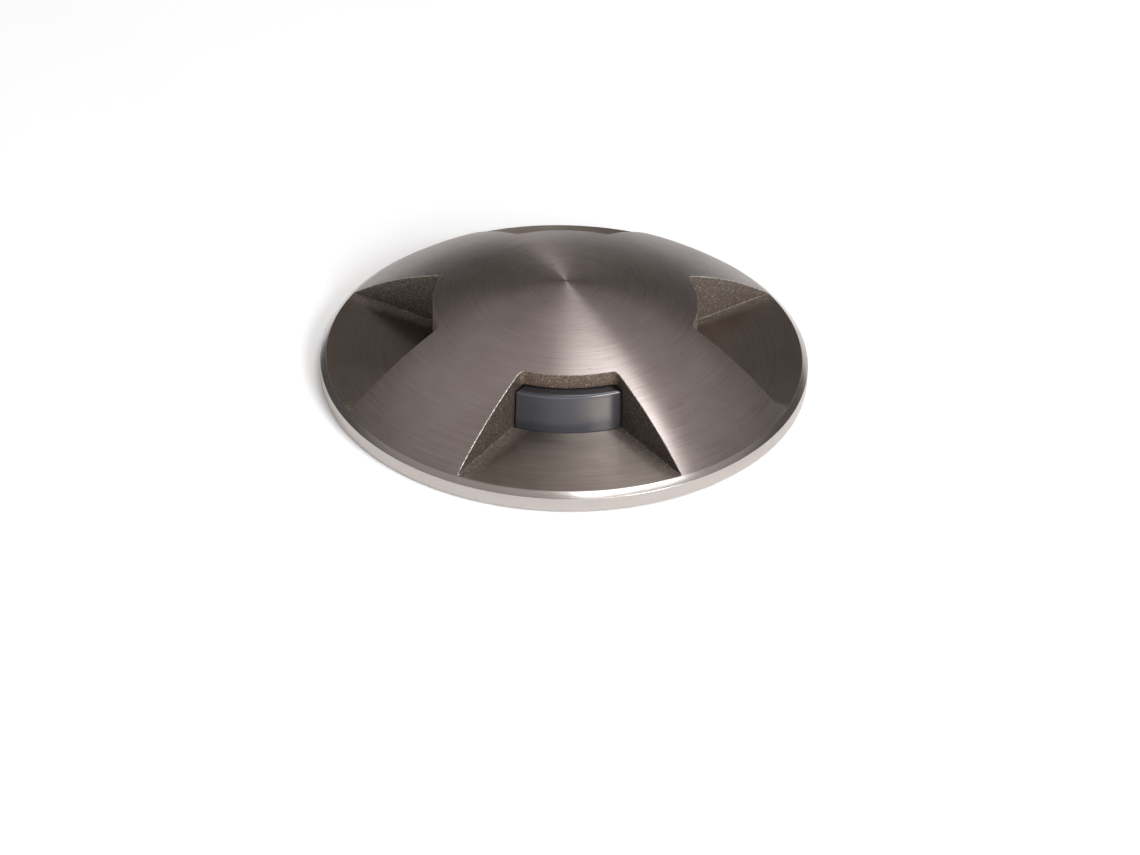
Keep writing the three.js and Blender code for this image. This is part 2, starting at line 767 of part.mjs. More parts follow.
function bottomCap() {
  const spigotRadius = canBore - slipGap;
  const sealMiddleZ = capTopZ + spigotHeight / 2;
  const cap = revolve(
    [
      [0, capBottomZ],
      [canRadius - canTaper, capBottomZ],
      [canRadius - canTaper, capTopZ],
      [spigotRadius, capTopZ],
      [spigotRadius, sealMiddleZ - capSealSection / 2],
      [spigotRadius - capSealDepth, sealMiddleZ - capSealSection / 2],
      [spigotRadius - capSealDepth, sealMiddleZ + capSealSection / 2],
      [spigotRadius, sealMiddleZ + capSealSection / 2],
      [spigotRadius, capTopZ + spigotHeight],
      [spigotRadius - spigotWall, capTopZ + spigotHeight],
      [spigotRadius - spigotWall, capTopZ],
      [0, capTopZ],
    ],
    bodySegments,
  );
  const ear = disc(earRadius, capBottomZ, capTopZ, bossSegments, canRadius + earOffset).add(
    block([canBore, -earRadius, capBottomZ], [canRadius + earOffset, earRadius, capTopZ]),
  );
  const hole = disc(
    capScrew.shankRadius + screwHoleRoom,
    capBottomZ - overrun,
    capTopZ + overrun,
    screwSegments,
    canRadius + earOffset,
  );
  return cap
    .add(turned(ringOf(ear, clipCount), earAngle))
    .subtract(turned(ringOf(hole, clipCount), earAngle))
    .subtract(disc(glandStubRadius + slipGap, capBottomZ - overrun, capTopZ + overrun));
}

function capSeal() {
  const outer = canBore - slipGap / 2;
  const middleZ = capTopZ + spigotHeight / 2;
  const half = capSealSection / 2 - bondGap;
  return washer(canBore - slipGap - capSealDepth + bondGap, outer, middleZ - half, middleZ + half);
}

function glandBody() {
  const sealRoom = glandNeckRadius - glandSealWall;
  const sealTopZ = glandNeckBottomZ + glandSealLength;
  const stub = revolve(
    [
      [glandBoreRadius, glandHexBottomZ],
      [glandBoreRadius, sealTopZ],
      [sealRoom, sealTopZ],
      [sealRoom, glandNeckBottomZ],
      [glandNeckRadius, glandNeckBottomZ],
      [glandNeckRadius, glandHexBottomZ],
      [glandStubRadius, glandHexTopZ],
      [glandStubRadius, capTopZ + glandStubRise],
      [glandBoreRadius, capTopZ + glandStubRise],
    ],
    smallSegments,
  );
  const hex = hexBar(glandHexWidth, glandHexBottomZ, glandHexTopZ);
  return stub.add(hex.subtract(disc(glandBoreRadius, glandHexBottomZ - overrun, glandHexTopZ + overrun)));
}

function glandSeal() {
  const outer = glandNeckRadius - glandSealWall - slipGap;
  const topZ = glandNeckBottomZ + glandSealLength - seatGap;
  return washer(glandBoreRadius - glandSealWall, outer, glandNeckBottomZ, topZ, smallSegments);
}

function glandNut() {
  const bore = glandNeckRadius + threadGap;
  const outer = bore + glandNutWall;
  const cup = revolve(
    [
      [glandBoreRadius, glandNutBottomZ],
      [outer - glandNutRound, glandNutBottomZ],
      [outer, glandNutBottomZ + glandNutRound],
      [outer, glandNutTopZ],
      [bore, glandNutTopZ],
      [bore, glandNutBottomZ + glandNutTip],
      [glandBoreRadius, glandNutBottomZ + glandNutTip],
    ],
    smallSegments,
  );
  const hexTopZ = glandNutTopZ;
  const hexLowZ = glandNutTopZ - glandHexHeight;
  const hex = hexBar(glandHexWidth, hexLowZ, hexTopZ);
  return cup.add(hex.subtract(disc(bore, hexLowZ - overrun, hexTopZ + overrun)));
}

function glandLocknut() {
  const low = capTopZ + seatGap;
  const nut = hexBar(glandHexWidth, low, low + locknutHeight);
  return nut.subtract(disc(glandStubRadius + threadGap, low - overrun, low + locknutHeight + overrun));
}

// A clip on the +X side, drawn about its own pivot: a rolled eye and a leaf bowed out to the sleeve
function clip() {
  const eyeBore = clipPinRadius + clipEyeGap;
  const eyeRadius = eyeBore + clipThickness;
  const half = clipWidth / 2;
  const bowReach = Math.sqrt((sleeveBore - seatGap) ** 2 - half ** 2) - clipPivotRadius - clipThickness / 2;
  const startX = eyeRadius - clipThickness / 2;
  const tipX = sleeveBore - clipTipIn - clipPivotRadius - clipThickness / 2;
  const middle = new THREE.SplineCurve([
    new THREE.Vector2(startX, 0),
    new THREE.Vector2((startX + bowReach) / 2, -clipBowDrop / 2),
    new THREE.Vector2(bowReach, -clipBowDrop),
    new THREE.Vector2(tipX, -clipLength),
  ]).getPoints(clipPathSteps);
  const highest = Math.max(...middle.map((p) => p.x));
  const fitted = middle.map((p) => new THREE.Vector2(p.x - Math.max(0, highest - bowReach), p.y));
  const side = (sign) =>
    fitted.map((p, k) => {
      const before = fitted[Math.max(0, k - 1)];
      const after = fitted[Math.min(fitted.length - 1, k + 1)];
      const along = after.clone().sub(before).normalize();
      return new THREE.Vector2(
        p.x - (sign * along.y * clipThickness) / 2,
        p.y + (sign * along.x * clipThickness) / 2,
      );
    });
  const leaf = new THREE.Shape([...side(1), ...side(-1).reverse()]);
  const eye = new THREE.Shape().absarc(0, 0, eyeRadius, 0, turn, false);
  const eyeSolid = raise(eye, -half, half, screwSegments / 2);
  const bore = disc(eyeBore, -half - overrun, half + overrun, screwSegments);
  return raise(leaf, -half, half).add(eyeSolid).subtract(bore).rotate([90, 0, 0]);
}

function clipPin() {
  const half = clipWidth / 2 + lugGap + lugThickness + lugPinProud;
  return disc(clipPinRadius, -half, half, screwSegments).rotate([90, 0, 0]);
}

function recessSleeve() {
  const lipTopZ = -seatGap;
  const depth = lipTopZ - sleeveBottomZ;
  const ribs = anchorRibShares.flatMap((share) => {
    const z = lipTopZ - share * depth;
    const half = anchorRibThickness / 2;
    const reach = sleeveRadius + anchorRibHeight;
    return [[sleeveRadius, z - half], [reach, z - half], [reach, z + half], [sleeveRadius, z + half]];
  });
  const sleeve = revolve(
    [
      [sleeveBore, sleeveBottomZ],
      [sleeveRadius, sleeveBottomZ],
      ...ribs,
      [sleeveRadius, lipTopZ - lipThickness],
      [lipRadius, lipTopZ - lipThickness],
      [lipRadius, lipTopZ],
      [sleeveBore, lipTopZ],
      [sleeveBore, sleeveFloorTopZ],
      [grommetRadius, sleeveFloorTopZ],
      [grommetRadius, sleeveFloorBottomZ],
      [sleeveBore, sleeveFloorBottomZ],
    ],
    bodySegments,
  );
  const drain = disc(
    drainRadius,
    sleeveFloorBottomZ - overrun,
    sleeveFloorTopZ + overrun,
    screwSegments,
    drainCircle,
  );
  return sleeve.subtract(ringOf(drain, drainCount));
}

// A rubber plug in the sleeve's floor, with a membrane that the cable is pushed through on site
function entryGrommet() {
  const neck = grommetRadius - seatGap;
  const outer = grommetRadius + grommetLip;
  const bore = neck - grommetLip;
  const middleZ = (sleeveFloorTopZ + sleeveFloorBottomZ) / 2;
  const lowZ = sleeveFloorBottomZ - seatGap;
  const highZ = sleeveFloorTopZ + seatGap;
  return revolve(
    [
      [0, middleZ - grommetMembrane / 2],
      [bore, middleZ - grommetMembrane / 2],
      [bore, lowZ - grommetLipThickness],
      [outer, lowZ - grommetLipThickness],
      [outer, lowZ],
      [neck, lowZ],
      [neck, highZ],
      [outer, highZ],
      [outer, highZ + grommetLipThickness],
      [bore, highZ + grommetLipThickness],
      [bore, middleZ + grommetMembrane / 2],
      [0, middleZ + grommetMembrane / 2],
    ],
    smallSegments,
  );
}

// Materials
const material = (color, roughness, metalness, extra = {}) =>
  new THREE.MeshStandardMaterial({ color, roughness, metalness, flatShading: true, ...extra });
const brushedSteel = material(0x8b8480, 0.38, 1);
const smokedLens = material(0x3c3c42, 0.3, 0, { transparent: true, opacity: 0.85 });
const castAluminium = material(0xa9abad, 0.5, 1);
const screwSteel = material(0xb4b4b2, 0.3, 1);
const springSteel = material(0xc0c0be, 0.25, 1);
const sealRubber = material(0x1c1c1d, 0.85, 0);
const redRubber = material(0x8a3b2c, 0.8, 0);
const sleevePlastic = material(0x2b2c2e, 0.6, 0);
const glandPlastic = material(0x35373a, 0.5, 0);
const boardGreen = material(0x1f5a3a, 0.5, 0);
const boardWhite = material(0xe8e8e4, 0.5, 0);
const lightYellow = material(0xe8d27a, 0.3, 0);
const ferrite = material(0x3a3735, 0.7, 0);
const canSilver = material(0xb9bcc0, 0.35, 1);
const chipBlack = material(0x1a1a1b, 0.6, 0);
const terminalGreen = material(0x2f7d4a, 0.5, 0);
const leadRed = material(0xa82420, 0.55, 0);
const leadBlack = material(0x202022, 0.55, 0);

const light = new THREE.Group();

function add(name, solid, finish, parent = light) {
  const mesh = new THREE.Mesh(geometryOf(solid), finish);
  mesh.name = name;
  parent.add(mesh);
  return mesh;
}

// Copies of one solid as meshes of their own, in equal steps round Z
function addRing(name, solid, finish, count, { angle = 0, radius = 0, z = 0 }) {
  for (let k = 0; k < count; k++) {
    const station = new THREE.Group();
    station.rotation.z = angle + (k * turn) / count;
    light.add(station);
    add(`${name}_${k + 1}`, solid, finish, station).position.set(radius, 0, z);
  }
}

function addUnderBoard(name, solid, finish, shares) {
  const [x, y] = shares.map((share) => share * driverBoardRadius);
  add(name, solid, finish).position.set(x, y, driverBoardBottomZ - bondGap);
}

add("cover_dome", coverDome(), brushedSteel);
add("lens", lens(), smokedLens);
add("lens_seal", lensSeal(), redRubber);
add("cover_gasket", coverGasket(), sealRubber);
add("housing", housing(), castAluminium);
addRing("cover_screw", screw(coverScrew), screwSteel, windowCount, {
  angle: coverScrewAngle,
  radius: coverScrewCircle,
  z: deckBottomZ - seatGap,
});

add("led_post", ledPost(), castAluminium);
addRing("led_board", ledBoard(), boardWhite, windowCount, {});
addRing("led", led(), lightYellow, windowCount, {});
add("post_screw", screw(postScrew), screwSteel).position.z = deckBottomZ - seatGap;

add("driver_board", driverBoard(), boardGreen);
addRing("board_screw", screw(boardScrew), screwSteel, driverBossCount, {
  angle: driverBossAngle,
  radius: driverBossCircle,
  z: driverBoardBottomZ - bondGap,
});
addUnderBoard("driver_coil", driverCoil(), ferrite, coilShares);
addUnderBoard("driver_capacitor", driverCapacitor(), canSilver, capacitorShares);
addUnderBoard("driver_chip", driverChip(), chipBlack, chipShares);
addUnderBoard("terminal_block", terminalBlock(), terminalGreen, terminalShares);
add("led_lead_red", lead(1), leadRed);
add("led_lead_black", lead(-1), leadBlack);

add("bottom_cap", bottomCap(), castAluminium);
add("cap_seal", capSeal(), sealRubber);
addRing("cap_screw", screw(capScrew), screwSteel, clipCount, {
  angle: earAngle,
  radius: canRadius + earOffset,
  z: capBottomZ - seatGap,
});
add("gland_body", glandBody(), glandPlastic);
add("gland_locknut", glandLocknut(), glandPlastic);
add("gland_seal", glandSeal(), sealRubber);
add("gland_nut", glandNut(), glandPlastic);

const pivot = { radius: clipPivotRadius, z: clipPivotZ };
addRing("clip", clip(), springSteel, clipCount, pivot);
addRing("clip_pin", clipPin(), screwSteel, clipCount, pivot);

add("recess_sleeve", recessSleeve(), sleevePlastic);
add("entry_grommet", entryGrommet(), sealRubber);

export default light;
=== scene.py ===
import json
import math
import random

import bmesh
import bpy
from mathutils import Matrix, Vector

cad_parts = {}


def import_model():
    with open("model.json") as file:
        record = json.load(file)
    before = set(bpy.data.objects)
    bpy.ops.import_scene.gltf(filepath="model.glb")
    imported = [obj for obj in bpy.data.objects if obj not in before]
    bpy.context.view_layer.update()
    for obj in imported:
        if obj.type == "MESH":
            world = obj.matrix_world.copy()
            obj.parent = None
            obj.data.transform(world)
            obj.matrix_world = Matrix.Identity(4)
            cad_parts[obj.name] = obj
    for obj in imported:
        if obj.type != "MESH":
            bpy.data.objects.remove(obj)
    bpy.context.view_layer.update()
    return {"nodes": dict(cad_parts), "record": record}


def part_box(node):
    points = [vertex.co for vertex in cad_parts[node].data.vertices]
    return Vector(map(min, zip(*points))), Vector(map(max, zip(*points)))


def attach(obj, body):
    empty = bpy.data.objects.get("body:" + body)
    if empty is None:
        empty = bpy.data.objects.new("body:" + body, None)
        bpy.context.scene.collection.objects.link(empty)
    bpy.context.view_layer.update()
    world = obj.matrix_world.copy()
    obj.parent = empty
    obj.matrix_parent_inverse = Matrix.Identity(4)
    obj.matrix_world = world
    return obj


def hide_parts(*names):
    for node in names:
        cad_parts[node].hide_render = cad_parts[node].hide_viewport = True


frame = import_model()

mm = 0.001
to_metres = Matrix.Scale(mm, 4)
degree = math.pi / 180
turn = 2 * math.pi
quarter = turn / 4


def top_of(node):
    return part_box(node)[1].z / mm


def reach_of(node):
    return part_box(node)[1].x / mm


# Sizes of the cover, those of the whole outline taken from the frame
rim_radius = reach_of("cover_dome")
dome_top = top_of("cover_dome")
rim_face = 3.2
foot_break = 0.3
bevel_width = 1.2
bevel_rise = 0.93
rim_edge_round = 0.16
dome_edge = rim_radius - bevel_width
dome_edge_z = rim_face + bevel_rise
dome_rise = dome_top - dome_edge_z
dome_radius = (dome_edge ** 2 + dome_rise ** 2) / (2 * dome_rise)
dome_centre_z = dome_top - dome_radius
dome_clear = 0.4  # from the dome's edge to where the profile leaves the round there
dome_start = dome_edge - dome_clear
brow_step = 1  # from the dome's edge to the point that this round is tangent towards
brow_next = dome_edge - brow_step

# Windows, with walls that lean out from an apex near the light's axis
window_count = 4
window_step = turn / window_count
window_back = 28.3
window_apex = 12.26
window_half = 34.6 * degree
window_corner = 1.4
floor_lip = 0.1
floor_edge_z = dome_edge_z + floor_lip
floor_rise = 0.4
floor_slope = floor_rise / (dome_edge - window_back)
dish = 0.12
drum_wall = 3

# Fillet at a window's floor and round at its upper edge, which fade where the wall runs out
fillet_radius = 0.35
fillet_least = 0.02
fillet_share = 0.5
edge_round = 0.24
edge_least = 0.006
edge_share = 0.25
edge_wear = 0.4
edge_turn = 70 * degree
wear_seed = 4

# Cutters run on past the surfaces that they open
overrun = 2
window_flare = 1.1
window_rise = 8
window_middle = 41
window_floor_shares = (0.2, 0.45, 0.7, 0.9)

# Lens
seat_gap = 0.3
slot_gap = 0.06
lens_top = top_of("lens")
lens_flange = reach_of("lens")
lens_flange_height = 1.2
lens_ring = window_back - drum_wall - seat_gap
lens_wall = 3
lens_bore = lens_ring - lens_wall
lens_roof = 2
lens_round = 0.8
pad_root = 2
pad_corner = 0.5
pad_corner_least = 0.02
pad_draft = 0.35
proud_pad = (2.8, 0.05)
flush_pad = (-0.2, 1.5)
window_pads = [flush_pad, proud_pad, flush_pad, proud_pad]

# Hollows of the cover
arm_wall = 3.2
dome_wall = 4
core_inner = 38.7
core_outer = 47.6
relief_inner = 44.2
relief_outer = 51.0
relief_depth = 0.3
screw_circle = 40
screw_boss = 4.22
screw_hole = 2.02
screw_depth = 6.5

# Steps of the round shapes
fine_facets = 256
facets = 128
boss_facets = 32
hole_facets = 24
dome_steps = 34
pocket_steps = 8
core_steps = 6
fillet_steps = 6
round_steps = 4
wall_steps = 96
corner_steps = 8
back_steps = 64
outer_steps = 24
front_steps = 32
rim_round_steps = 3
lens_round_steps = 6

# Creases that stay sharp in smooth shading, and the rounds on the edges of CAD nodes
crease = 32 * degree
node_crease = 35 * degree
node_edge = 0.2
screw_crease = 50 * degree
screw_edge = 0.08

# Which surface of the cut cover a face lies on: millimetres off it, and cosines to its normal
dome_off = 0.02
dome_facing = 0.995
floor_off = 0.01
floor_facing = 0.99
floor_least_z = 4
rim_band = 0.5
edge_facing = 0.12
wall_facing = -0.5
wall_least_z = 4.1
wall_behind = 1


def dome_height(radius, wall=0):
    """Height of the dome at a radius, or of a sphere a wall's thickness inside it."""
    inside = max((dome_radius - wall) ** 2 - radius ** 2, 0)
    return dome_centre_z + math.sqrt(inside)


def floor_height(radius):
    share = (dome_edge - radius) / (dome_edge - window_back)
    return floor_edge_z + floor_rise * max(0, share)


def link(data, name):
    """A new object in the scene, from a mesh, a light or a camera."""
    made = bpy.data.objects.new(name, data)
    bpy.context.scene.collection.objects.link(made)
    return made


def drawn(name, points, faces):
    mesh = bpy.data.meshes.new(name)
    mesh.from_pydata(points, [], faces)
    return mesh


def solid(name, points, faces):
    """A closed mesh in millimetres with its faces outwards."""
    mesh = drawn(name, points, faces)
    work = bmesh.new()
    work.from_mesh(mesh)
    bmesh.ops.recalc_face_normals(work, faces=work.faces)
    work.to_mesh(mesh)
    work.free()
    return link(mesh, name)


def ring(radius, z, count):
    """Points of a circle round Z."""
    angles = [turn * k / count for k in range(count)]
    return [(radius * math.cos(angle), radius * math.sin(angle), z) for angle in angles]


def band(low, high, count):
    """Faces between two closed loops of points, from the index that each loop starts at."""
    faces = []
    for k in range(count):
        n = (k + 1) % count
        faces.append((low + k, low + n, high + n, high + k))
    return faces


def revolve(name, profile, segments):
    """Turns a profile of (radius, z) round Z. It starts and ends on the axis, or closes on itself."""
    points = []
    rows = []
    for radius, z in profile:
        if radius == 0:
            rows.append([len(points)] * segments)
            points.append((0, 0, z))
            continue
        rows.append(list(range(len(points), len(points) + segments)))
        points.extend(ring(radius, z, segments))
    if profile[0][0] != 0:
        rows.append(rows[0])
    faces = []
    for low, high in zip(rows, rows[1:]):
        for k in range(segments):
            n = (k + 1) % segments
            corners = [low[k], low[n], high[n], high[k]]
            face = [c for i, c in enumerate(corners) if c != corners[i - 1]]
            if len(face) > 2:
                faces.append(face)
    return solid(name, points, faces)


def loft(name, loops, low_fan=None, high_fan=None):
    """A solid from a stack of loops with equal counts. A fan is the point that closes an end."""
    count = len(loops[0])
    points = [p for loop in loops for p in loop]
    last = len(points) - count
    faces = []
    for low in range(0, last, count):
        faces.extend(band(low, low + count, count))
    for fan, start in ((low_fan, 0), (high_fan, last)):
        if fan is None:
            faces.append(list(range(start, start + count)))
            continue
        centre = len(points)
        points.append(fan)
        for i in range(count):
            faces.append((start + i, start + (i + 1) % count, centre))
    return solid(name, points, faces)


def boolean(target, other, operation):
    """Cuts another piece from a target or joins it, and removes that other piece."""
    cut = target.modifiers.new("cut", "BOOLEAN")
    cut.solver = "MANIFOLD"
    cut.operation = operation
    cut.object = other
    graph = bpy.context.evaluated_depsgraph_get()
    mesh = bpy.data.meshes.new_from_object(target.evaluated_get(graph))
    old = target.data
    target.modifiers.clear()
    target.data = mesh
    bpy.data.meshes.remove(old)
    bpy.data.objects.remove(other)
    return target


def subtract(target, other):
    return boolean(target, other, "DIFFERENCE")


def join(target, other):
    return boolean(target, other, "UNION")


def turned(piece, angle):
    piece.data.transform(Matrix.Rotation(angle, 4, "Z"))
    return piece


def disc(name, radius, low, high, segments):
    """A disc on the circle of the cover's screws, at its crossing with X."""
    piece = revolve(name, [(0, low), (radius, low), (radius, high), (0, high)], segments)
    piece.data.transform(Matrix.Translation((screw_circle, 0, 0)))
    return piece


def shade_smooth(mesh, angle):
    mesh.polygons.foreach_set("use_smooth", [True] * len(mesh.polygons))
    mesh.set_sharp_from_angle(angle=angle)


def give_materials(mesh, materials):
    mesh.materials.clear()
    for material in materials:
        mesh.materials.append(material)


def finish(piece, body, slot_name, *nodes):
    """Scales a piece to metres, hangs it on the empty of the body that it rides on, and hides the CAD nodes
    that it stands for.
    """
    piece.data.transform(to_metres)
    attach(piece, body)
    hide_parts(*nodes)


def wall_angle(distance, inset=0):
    """Angle from a window's middle to its wall at a distance from the axis, or to a line inside it."""
    apex = window_apex + inset / math.sin(window_half)
    return window_half - math.asin(apex * math.sin(window_half) / distance)


def wall_point(distance, inset=0):
    angle = wall_angle(distance, inset)
    return (distance * math.cos(angle), distance * math.sin(angle))


def window_plan(outer):
    """Points (x, y, outward normal x, y) round a window: in along one wall, and out along the other."""
    reach = window_back + window_corner
    corner_angle = wall_angle(reach, window_corner)
    cx, cy = wall_point(reach, window_corner)
    normal = (-math.sin(window_half), math.cos(window_half))
    start = (cx + window_corner * normal[0], cy + window_corner * normal[1])
    end = wall_point(outer)
    half = []
    for k in range(wall_steps):
        t = k / wall_steps
        x = end[0] + (start[0] - end[0]) * t
        y = end[1] + (start[1] - end[1]) * t
        half.append((x, y, *normal))
    first = window_half + quarter
    last = corner_angle + math.pi
    for k in range(corner_steps):
        angle = first + (last - first) * k / corner_steps
        nx = math.cos(angle)
        ny = math.sin(angle)
        half.append((cx + window_corner * nx, cy + window_corner * ny, nx, ny))
    back = []
    for k in range(back_steps + 1):
        angle = corner_angle * (1 - 2 * k / back_steps)
        nx = -math.cos(angle)
        ny = -math.sin(angle)
        back.append((-window_back * nx, -window_back * ny, nx, ny))
    other = [(x, -y, nx, -ny) for x, y, nx, ny in reversed(half)]
    end_angle = wall_angle(outer)
    outside = []
    for k in range(1, outer_steps):
        angle = -end_angle + 2 * end_angle * k / outer_steps
        outside.append((outer * math.cos(angle), outer * math.sin(angle), 0, 0))
    return half + back + other + outside


def window_column(x, y, nx, ny, wear):
    """Points up one side of a window's cutter: floor fillet, wall, upper round and a flare past it."""
    radius = math.hypot(x, y)
    height = max(dome_height(radius) - floor_height(radius), 0) if radius < dome_edge else 0
    fillet = max(fillet_least, min(fillet_radius, fillet_share * height))
    edge = max(edge_least, min(edge_round * (1 + edge_wear * wear), edge_share * height))
    slope = max(0, -(nx * x + ny * y)) / math.sqrt(dome_radius ** 2 - radius ** 2)
    lean = edge_turn - math.atan(slope)
    column = []
    for k in range(fillet_steps + 1):
        angle = quarter * k / fillet_steps
        inset = fillet * (1 - math.sin(angle))
        px = x - nx * inset
        py = y - ny * inset
        low = floor_height(math.hypot(px, py))
        column.append((px, py, low + fillet * (1 - math.cos(angle))))
    wall_foot = column[-1][2]
    out = edge * (1 - math.cos(lean))
    reach = min(math.hypot(x + nx * out, y + ny * out), dome_radius)
    end_z = max(dome_height(reach), wall_foot + 2 * edge)
    for k in range(round_steps + 1):
        angle = lean * k / round_steps
        out = edge * (1 - math.cos(angle))
        z = end_z - edge * (math.sin(lean) - math.sin(angle))
        column.append((x + nx * out, y + ny * out, z))
    px, py, pz = column[-1]
    px += nx * window_flare * math.sin(lean)
    py += ny * window_flare * math.sin(lean)
    column.append((px, py, pz + window_flare * math.cos(lean)))
    column.append((px, py, dome_top + window_rise))
    return column


def window_cutter(rough):
    """What one window removes: its floor, fillets, walls and the small round at their upper edge."""
    plan = window_plan(rim_radius + overrun)
    wear = [rough.uniform(-1, 1) for _ in plan]
    columns = []
    for i, place in enumerate(plan):
        near = (wear[i - 1] + 2 * wear[i] + wear[(i + 1) % len(wear)]) / 4
        columns.append(window_column(*place, near))
    sides = list(zip(*columns))
    floors = []
    for share in window_floor_shares:
        loop = []
        for x, y, _ in sides[0]:
            px = window_middle + (x - window_middle) * share
            py = y * share
            loop.append((px, py, floor_height(math.hypot(px, py))))
        floors.append(loop)
    low = (window_middle, 0, floor_height(window_middle))
    high = (window_middle, 0, dome_top + window_rise)
    return loft("window", floors + sides, low, high)


def pad_plan(pad, gap):
    """Plan of a lens pad, grown by a gap, with its two front corners rounded."""
    stand, inset = pad
    inset -= gap
    outer = window_back + stand + gap
    inner = lens_ring - pad_root - gap
    corner = max(pad_corner + gap, pad_corner_least)
    reach = outer - corner
    angle = wall_angle(reach, inset + corner)
    cx, cy = wall_point(reach, inset + corner)
    if stand > 0:
        lean = window_half
        root = wall_point(inner, inset)
    else:
        lean = angle
        root_angle = lean + math.asin(corner / inner)
        root = (inner * math.cos(root_angle), inner * math.sin(root_angle))
    half = [root]
    first = lean + quarter
    for k in range(corner_steps + 1):
        around = first + (angle - first) * k / corner_steps
        half.append((cx + corner * math.cos(around), cy + corner * math.sin(around)))
    front = []
    for k in range(1, front_steps):
        around = angle * (1 - 2 * k / front_steps)
        front.append((outer * math.cos(around), outer * math.sin(around)))
    other = [(x, -y) for x, y in reversed(half)]
    return half + front + other


def pad_loop(pad, gap, z):
    return [(x, y, z) for x, y in pad_plan(pad, gap)]


def arc_profile(steps, wall, start, end):
    """Points of (radius, z) on the dome, or on a sphere a wall's thickness inside it."""
    radii = [start + (end - start) * k / steps for k in range(steps + 1)]
    return [(radius, dome_height(radius, wall)) for radius in radii]


def rounded(corner, before, after, radius, steps):
    """Points that round a corner of a profile between its two neighbours."""
    here = Vector(corner)
    a = (Vector(before) - here).normalized()
    b = (Vector(after) - here).normalized()
    half = a.angle(b) / 2
    reach = radius / math.tan(half)
    centre = here + (a + b).normalized() * radius / math.sin(half)
    start = here + a * reach
    end = here + b * reach
    points = []
    for k in range(steps + 1):
        point = start.lerp(end, k / steps)
        points.append(tuple(centre + (point - centre).normalized() * radius))
    return points


def cover():
    """The cast cover: rim, dome, windows, and the hollows below."""
    foot = (rim_radius, 0)
    shoulder = (rim_radius, rim_face)
    brow = (dome_edge, dome_edge_z)
    above_brow = (brow_next, dome_height(brow_next))
    profile = [
        (0, 0),
        (rim_radius - foot_break, 0),
        (rim_radius, foot_break),
        *rounded(shoulder, foot, brow, rim_edge_round, rim_round_steps),
        *rounded(brow, shoulder, above_brow, rim_edge_round, rim_round_steps),
        *arc_profile(dome_steps, 0, dome_start, 0),
    ]
    body = revolve("cover", profile, fine_facets)
    rough = random.Random(wear_seed)
    for k in range(window_count):
        subtract(body, turned(window_cutter(rough), k * window_step))
    flange_bore = lens_flange + seat_gap
    recess_z = seat_gap + lens_flange_height + seat_gap
    pocket_radius = lens_ring + seat_gap
    pocket_z = lens_top + seat_gap
    ceiling = math.sqrt((dome_radius - dome_wall) ** 2 - (pocket_z - dome_centre_z) ** 2)
    pocket = [
        (0, -overrun),
        (flange_bore, -overrun),
        (flange_bore, recess_z),
        (pocket_radius, recess_z),
        (pocket_radius, pocket_z),
        *arc_profile(pocket_steps, dome_wall, min(ceiling, pocket_radius), 0),
    ]
    subtract(body, revolve("pocket", pocket, facets))
    for k, pad in enumerate(window_pads):
        slot = loft("slot", [pad_loop(pad, slot_gap, z) for z in (-overrun, pocket_z)])
        subtract(body, turned(slot, k * window_step))
    relief = [
        (relief_inner, -overrun),
        (relief_outer, -overrun),
        (relief_outer, relief_depth),
        (relief_inner, relief_depth),
    ]
    subtract(body, revolve("relief", relief, fine_facets))
    return subtract(body, arm_cores())


def arm_cores():
    """The hollows below the arms, with the screw holes in their bosses."""
    below = -2 * overrun
    ceiling = arc_profile(core_steps, arm_wall, core_outer, core_inner)
    cores = revolve("cores", [(core_inner, -overrun), (core_outer, -overrun), *ceiling], facets)
    apex = window_apex - arm_wall / math.sin(window_half)
    reach = rim_radius + overrun
    half = (reach - apex) * math.tan(window_half)
    holes = None
    for k in range(window_count):
        wedge = [[(apex, 0, z), (reach, half, z), (reach, -half, z)] for z in (below, dome_top)]
        subtract(cores, turned(loft("wedge", wedge), k * window_step))
        angle = (k + 0.5) * window_step
        boss = disc("boss", screw_boss, below, dome_top, boss_facets)
        subtract(cores, turned(boss, angle))
        hole = turned(disc("hole", screw_hole, -overrun, screw_depth, hole_facets), angle)
        holes = join(holes, hole) if holes else hole
    return join(cores, holes)


def surface_of(face):
    """The surface of the cover that a face lies on."""
    middle = face.center
    up = face.normal.z
    radius = math.hypot(middle.x, middle.y)
    ray = middle - Vector((0, 0, dome_centre_z))
    on_dome = abs(ray.length - dome_radius) < dome_off and face.normal.dot(ray.normalized()) > dome_facing
    if on_dome and radius < dome_edge:
        return "dome"
    on_floor = up > floor_facing and abs(middle.z - floor_height(radius)) < floor_off
    if on_floor and middle.z > floor_least_z:
        return "floor"
    if radius > dome_edge - rim_band and middle.z < rim_face:
        return "rim"
    if radius > dome_edge - rim_band and middle.z <= dome_edge_z + floor_off:
        return "bevel"
    if up > edge_facing and radius < dome_edge and middle.z > dome_height(radius) - edge_round:
        return "edge"
    if up > wall_facing and middle.z > wall_least_z and radius > window_back - wall_behind:
        return "wall"
    return "underside"


def dome_normal(vertex):
    return (vertex - Vector((0, 0, dome_centre_z))).normalized()


def floor_normal(vertex):
    """Normal of a window's floor, which is dished a little towards its back."""
    outwards = Vector((vertex.x, vertex.y, 0)).normalized()
    inwards = (dome_edge - outwards.dot(vertex)) / (dome_edge - window_back)
    tilt = floor_slope + dish * max(0, inwards) ** 3
    return (outwards * tilt + Vector((0, 0, 1))).normalized()


